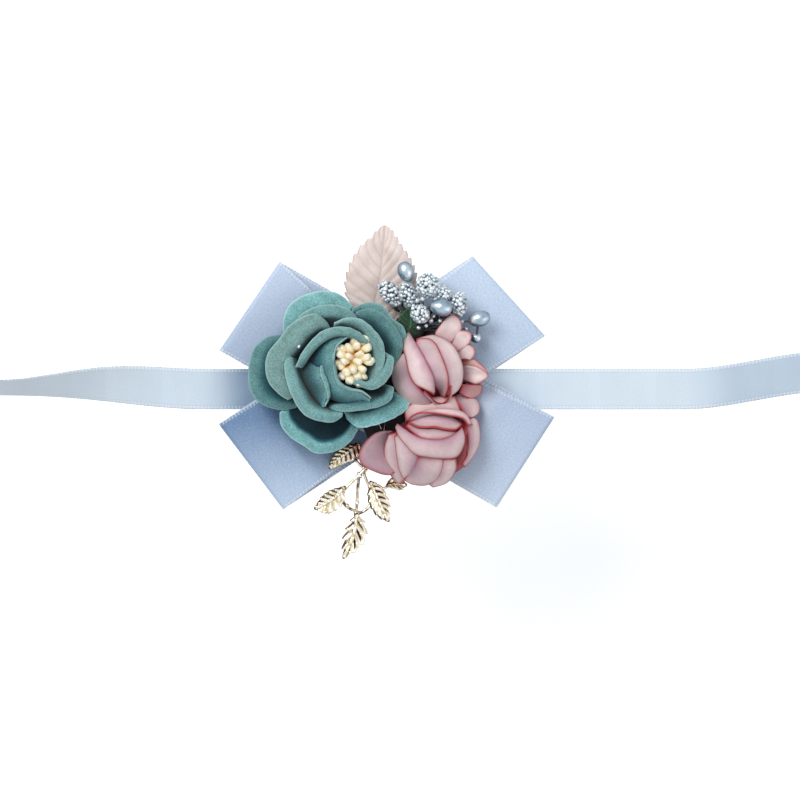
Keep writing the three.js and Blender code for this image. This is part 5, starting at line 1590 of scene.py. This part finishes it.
# Rust grows towards the stalk and wanders with a noise, and lacquer lies on the wires in patches.
RUST = {"span": (0.45, 0.75), "wander": 0.4, "rate": 0.7, "growth": 0.5, "middle": 0.55}
LACQUER = {"span": (0.5, 0.62), "tone": 0.85}
SPRIG_WIRES_PX = [
    [(379, 448), (364, 468), (372, 494)],
    [(368, 466), (356, 478), (341, 493)],
    [(359, 472), (357, 500), (356, 522)],
    [(340, 497), (347, 507), (360, 513)],
    [(373, 500), (367, 509), (354, 516)],
    [(369, 491), (382, 489), (393, 484)],
    [(367, 471), (358, 463), (351, 454)],
]
SPRIG_WIRE = {"radius": 0.42, "taper_share": 0.25}
SPRIG_KNOTS_PX = [(364, 468), (372, 497), (357, 503), (347, 506), (360, 476), (356, 513)]
SPRIG_KNOT = {"radius": 0.6, "height": 0.5}
GOLD_HAIRS_PX = [[(379, 448), (383, 436), (386, 421)], [(383, 436), (381, 428), (376, 419)]]
GOLD_HAIR = {"radius": 0.16, "rise": 1.6}


def leaf_grid(leaf, steps, height):
    """Points of a leaf between its sides, and what each point's height is worked out from: its shares from
    tip to stalk and from side to side, its share of a vein's stretch, and its distance to the midrib."""
    sides = [Spline([from_picture(px) for px in side]) for side in leaf["sides_px"]]
    rib = Spline([from_picture(px) for px in leaf["midrib_px"]])
    rows, columns = steps
    grid, shares = [], []
    for i in range(rows + 1):
        u = i / rows
        middle = rib.along(u)
        saw = leaf["tooth"] * (0.5 - (u * leaf["teeth"]) % 1)
        grid.append([])
        shares.append([])
        for j in range(-columns, columns + 1):
            v = j / columns
            out = sides[0 if v < 0 else 1].along(u) - middle
            reach = out.length
            if reach > TINY:
                out.normalize()
            tooth = saw * abs(v) ** 3 * between(u, *TEETH_SPAN)
            point = middle + out * (reach * abs(v) + tooth)
            phase = ((u + leaf["slant"] * abs(v)) * leaf["veins"]) % 1
            shares[-1].append((u, v, phase, v * reach))
            point.z = height(*shares[-1][-1])
            grid[-1].append(point)
    return grid, shares


def each_point(shares, tone):
    """A number for each point of a leaf."""
    return [[tone(*point) for point in row] for row in shares]


def pressed_leaf(name, leaf):
    """Leaf of pressed cloth, with a midrib and side veins that run out to the teeth."""
    rib_depth, rib_width, rib_tone = leaf["rib"]
    vein_width, vein_tone = leaf["vein"]

    def height(u, v, phase, side):
        puff = leaf["puff"] * arch(phase)
        if leaf["fades"]:
            puff *= between(abs(v), *PUFF_SPAN) * between(u, *VEIN_SPAN)
        bend = mix(leaf["tip_rise"], 0, u) + (leaf["arch"] * arch(u) + leaf["fold"]) * abs(v)
        return leaf["root_z"] + bend + puff - rib_depth * bell(side, rib_width)

    def vein(u, v, phase, side):
        tone = vein_tone * bell(min(phase, 1 - phase), vein_width)
        if leaf["fades"]:
            tone *= (1 - abs(v) / 2) * between(u, *VEIN_SPAN)
        return max(tone, rib_tone * bell(side, rib_width))

    grid, shares = leaf_grid(leaf, leaf["steps"], height)
    piece = shell(name, grid, LEAF_THICKNESS, [leaf_cloth(*leaf["cloth"])],
                  values={"vein": each_point(shares, vein)}, slot=leaf["slot"])
    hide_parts(leaf["node"])


def sprig_leaf(name, leaf, material):
    """Cast leaf: toothed plate with raised midrib and side veins, and brown lacquer between them."""
    relief = SPRIG_RELIEF

    def height(u, v, phase, side):
        rim = smooth(*SPRIG_RIM_SPAN, abs(v))
        ridge = 0.5 + 0.5 * math.cos(2 * math.pi * phase)
        cast = relief["rib"] * bell(side, relief["rib_width"]) + relief["veins"] * ridge * (1 - rim)
        return SPRIG_Z + cast + relief["rim"] * rim + relief["bow"] * arch(u)

    def groove(u, v, phase, side):
        slot = leaf["slots"][1 if v > 0 else 0] * smooth(*SLOT_EDGE, min(phase, 1 - phase))
        crease = SPRIG_CREASE["tone"] * bell(abs(side) - SPRIG_CREASE["place"], SPRIG_CREASE["width"])
        return max(slot * between(abs(v), *SLOT_SPAN), crease) * between(u, *VEIN_SPAN)

    grid, shares = leaf_grid(leaf, SPRIG_LEAF_STEPS, height)
    rust = []
    for row, points in zip(shares, grid):
        wander = [RUST["wander"] * noise.noise(place * RUST["rate"]) for place in points]
        growth = RUST["growth"] * (row[0][0] - RUST["middle"])
        rust.append([leaf["rust"] * smooth(*RUST["span"], 0.5 + share + growth) for share in wander])
    shell(name, grid, SPRIG_LEAF_THICKNESS, [material], slot="gold",
          values={"groove": each_point(shares, groove), "rust": rust})


def gold_sprig():
    """Cast leaves on wires with knots, and two loose hairs."""
    material = gold_metal()
    for i, leaf in enumerate(SPRIG_LEAVES):
        sprig_leaf(f"gold_leaf_{i + 1}", leaf, material)

    def radius(share):
        return SPRIG_WIRE["radius"] * (1 - SPRIG_WIRE["taper_share"] * share)
    stems = Bundle()
    for route in SPRIG_WIRES_PX:
        stems.add(tube(Spline([from_picture(px, SPRIG_Z) for px in route]), radius, sides=10, count=24))
    for px in SPRIG_KNOTS_PX:
        stems.add(ball(from_picture(px, SPRIG_Z), round_axes(**SPRIG_KNOT)))
    for route in GOLD_HAIRS_PX:
        path = Spline([from_picture(px, SPRIG_Z + GOLD_HAIR["rise"] * i) for i, px in enumerate(route)])
        stems.add(tube(path, GOLD_HAIR["radius"], sides=8, count=16))
    piece = new_mesh("gold_stems", stems.points, stems.faces, [material], slot="gold")
    patches = [0.5 + 0.5 * noise.noise(p * RUST["rate"]) for p in stems.points]
    groove = [LACQUER["tone"] * smooth(*LACQUER["span"], share) for share in patches]
    add_values(piece, {"groove": groove, "rust": [0.1] * len(groove), "edge": [NO_EDGE] * len(groove)})
    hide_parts("gold_sprig")


# Pad: shares of its radius and height from the underside round the edge to the top, and how its edge frays.
PAD_PROFILE = [(0.5, 0), (0.97, 0), (1, 0.12), (1, 0.88), (0.97, 1), (0.5, 1)]
PAD_SIDES = 140
PAD_FRAY = 0.006
PAD_FRAY_RATE = 9


def felt_pad():
    """Felt disc with a fibrous, slightly uneven edge."""
    low, high = low_mm("felt_pad"), high_mm("felt_pad")
    centre = (low + high) / 2
    radius = (high.x - low.x) / 2
    points = []
    for share, height in PAD_PROFILE:
        for k in range(PAD_SIDES):
            turn = 2 * math.pi * k / PAD_SIDES
            x, y = math.cos(turn), math.sin(turn)
            fray = 1 + PAD_FRAY * noise.noise(Vector((x * PAD_FRAY_RATE, y * PAD_FRAY_RATE, height))) * share
            reach = radius * share * fray
            points.append(Vector((centre.x + reach * x, centre.y + reach * y, mix(low.z, high.z, height))))
    rings = len(PAD_PROFILE)
    faces = ring_faces(rings, PAD_SIDES) + end_faces(rings, PAD_SIDES)
    felt = plain_fibre("felt", "#f0f1f3", "#cfd3d8", 0.6)
    piece = new_mesh("felt_disc", points, faces, [felt], slot="felt")
    for face in piece.data.polygons[-2:]:
        face.use_smooth = False
    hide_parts("felt_pad")


def carried_over():
    """Materials for the model's own pieces that stay."""
    calyx = plain_fibre("calyx_felt", "#3f6a52", "#1c3a2c", 0.6)
    for node, material in (("glue_bed", glue_in_painted_shade()), ("rose_base", calyx)):
        for slot in bpy.data.objects[node].material_slots:
            slot.material = material


camera()
studio()
felt_pad()
wrist_ribbon()
for name, bow in BOWS.items():
    bow_ribbon(name, bow)
rose()
pink_flowers()
berries()
for name, leaf in PRESSED_LEAVES.items():
    pressed_leaf(name, leaf)
gold_sprig()
carried_over()
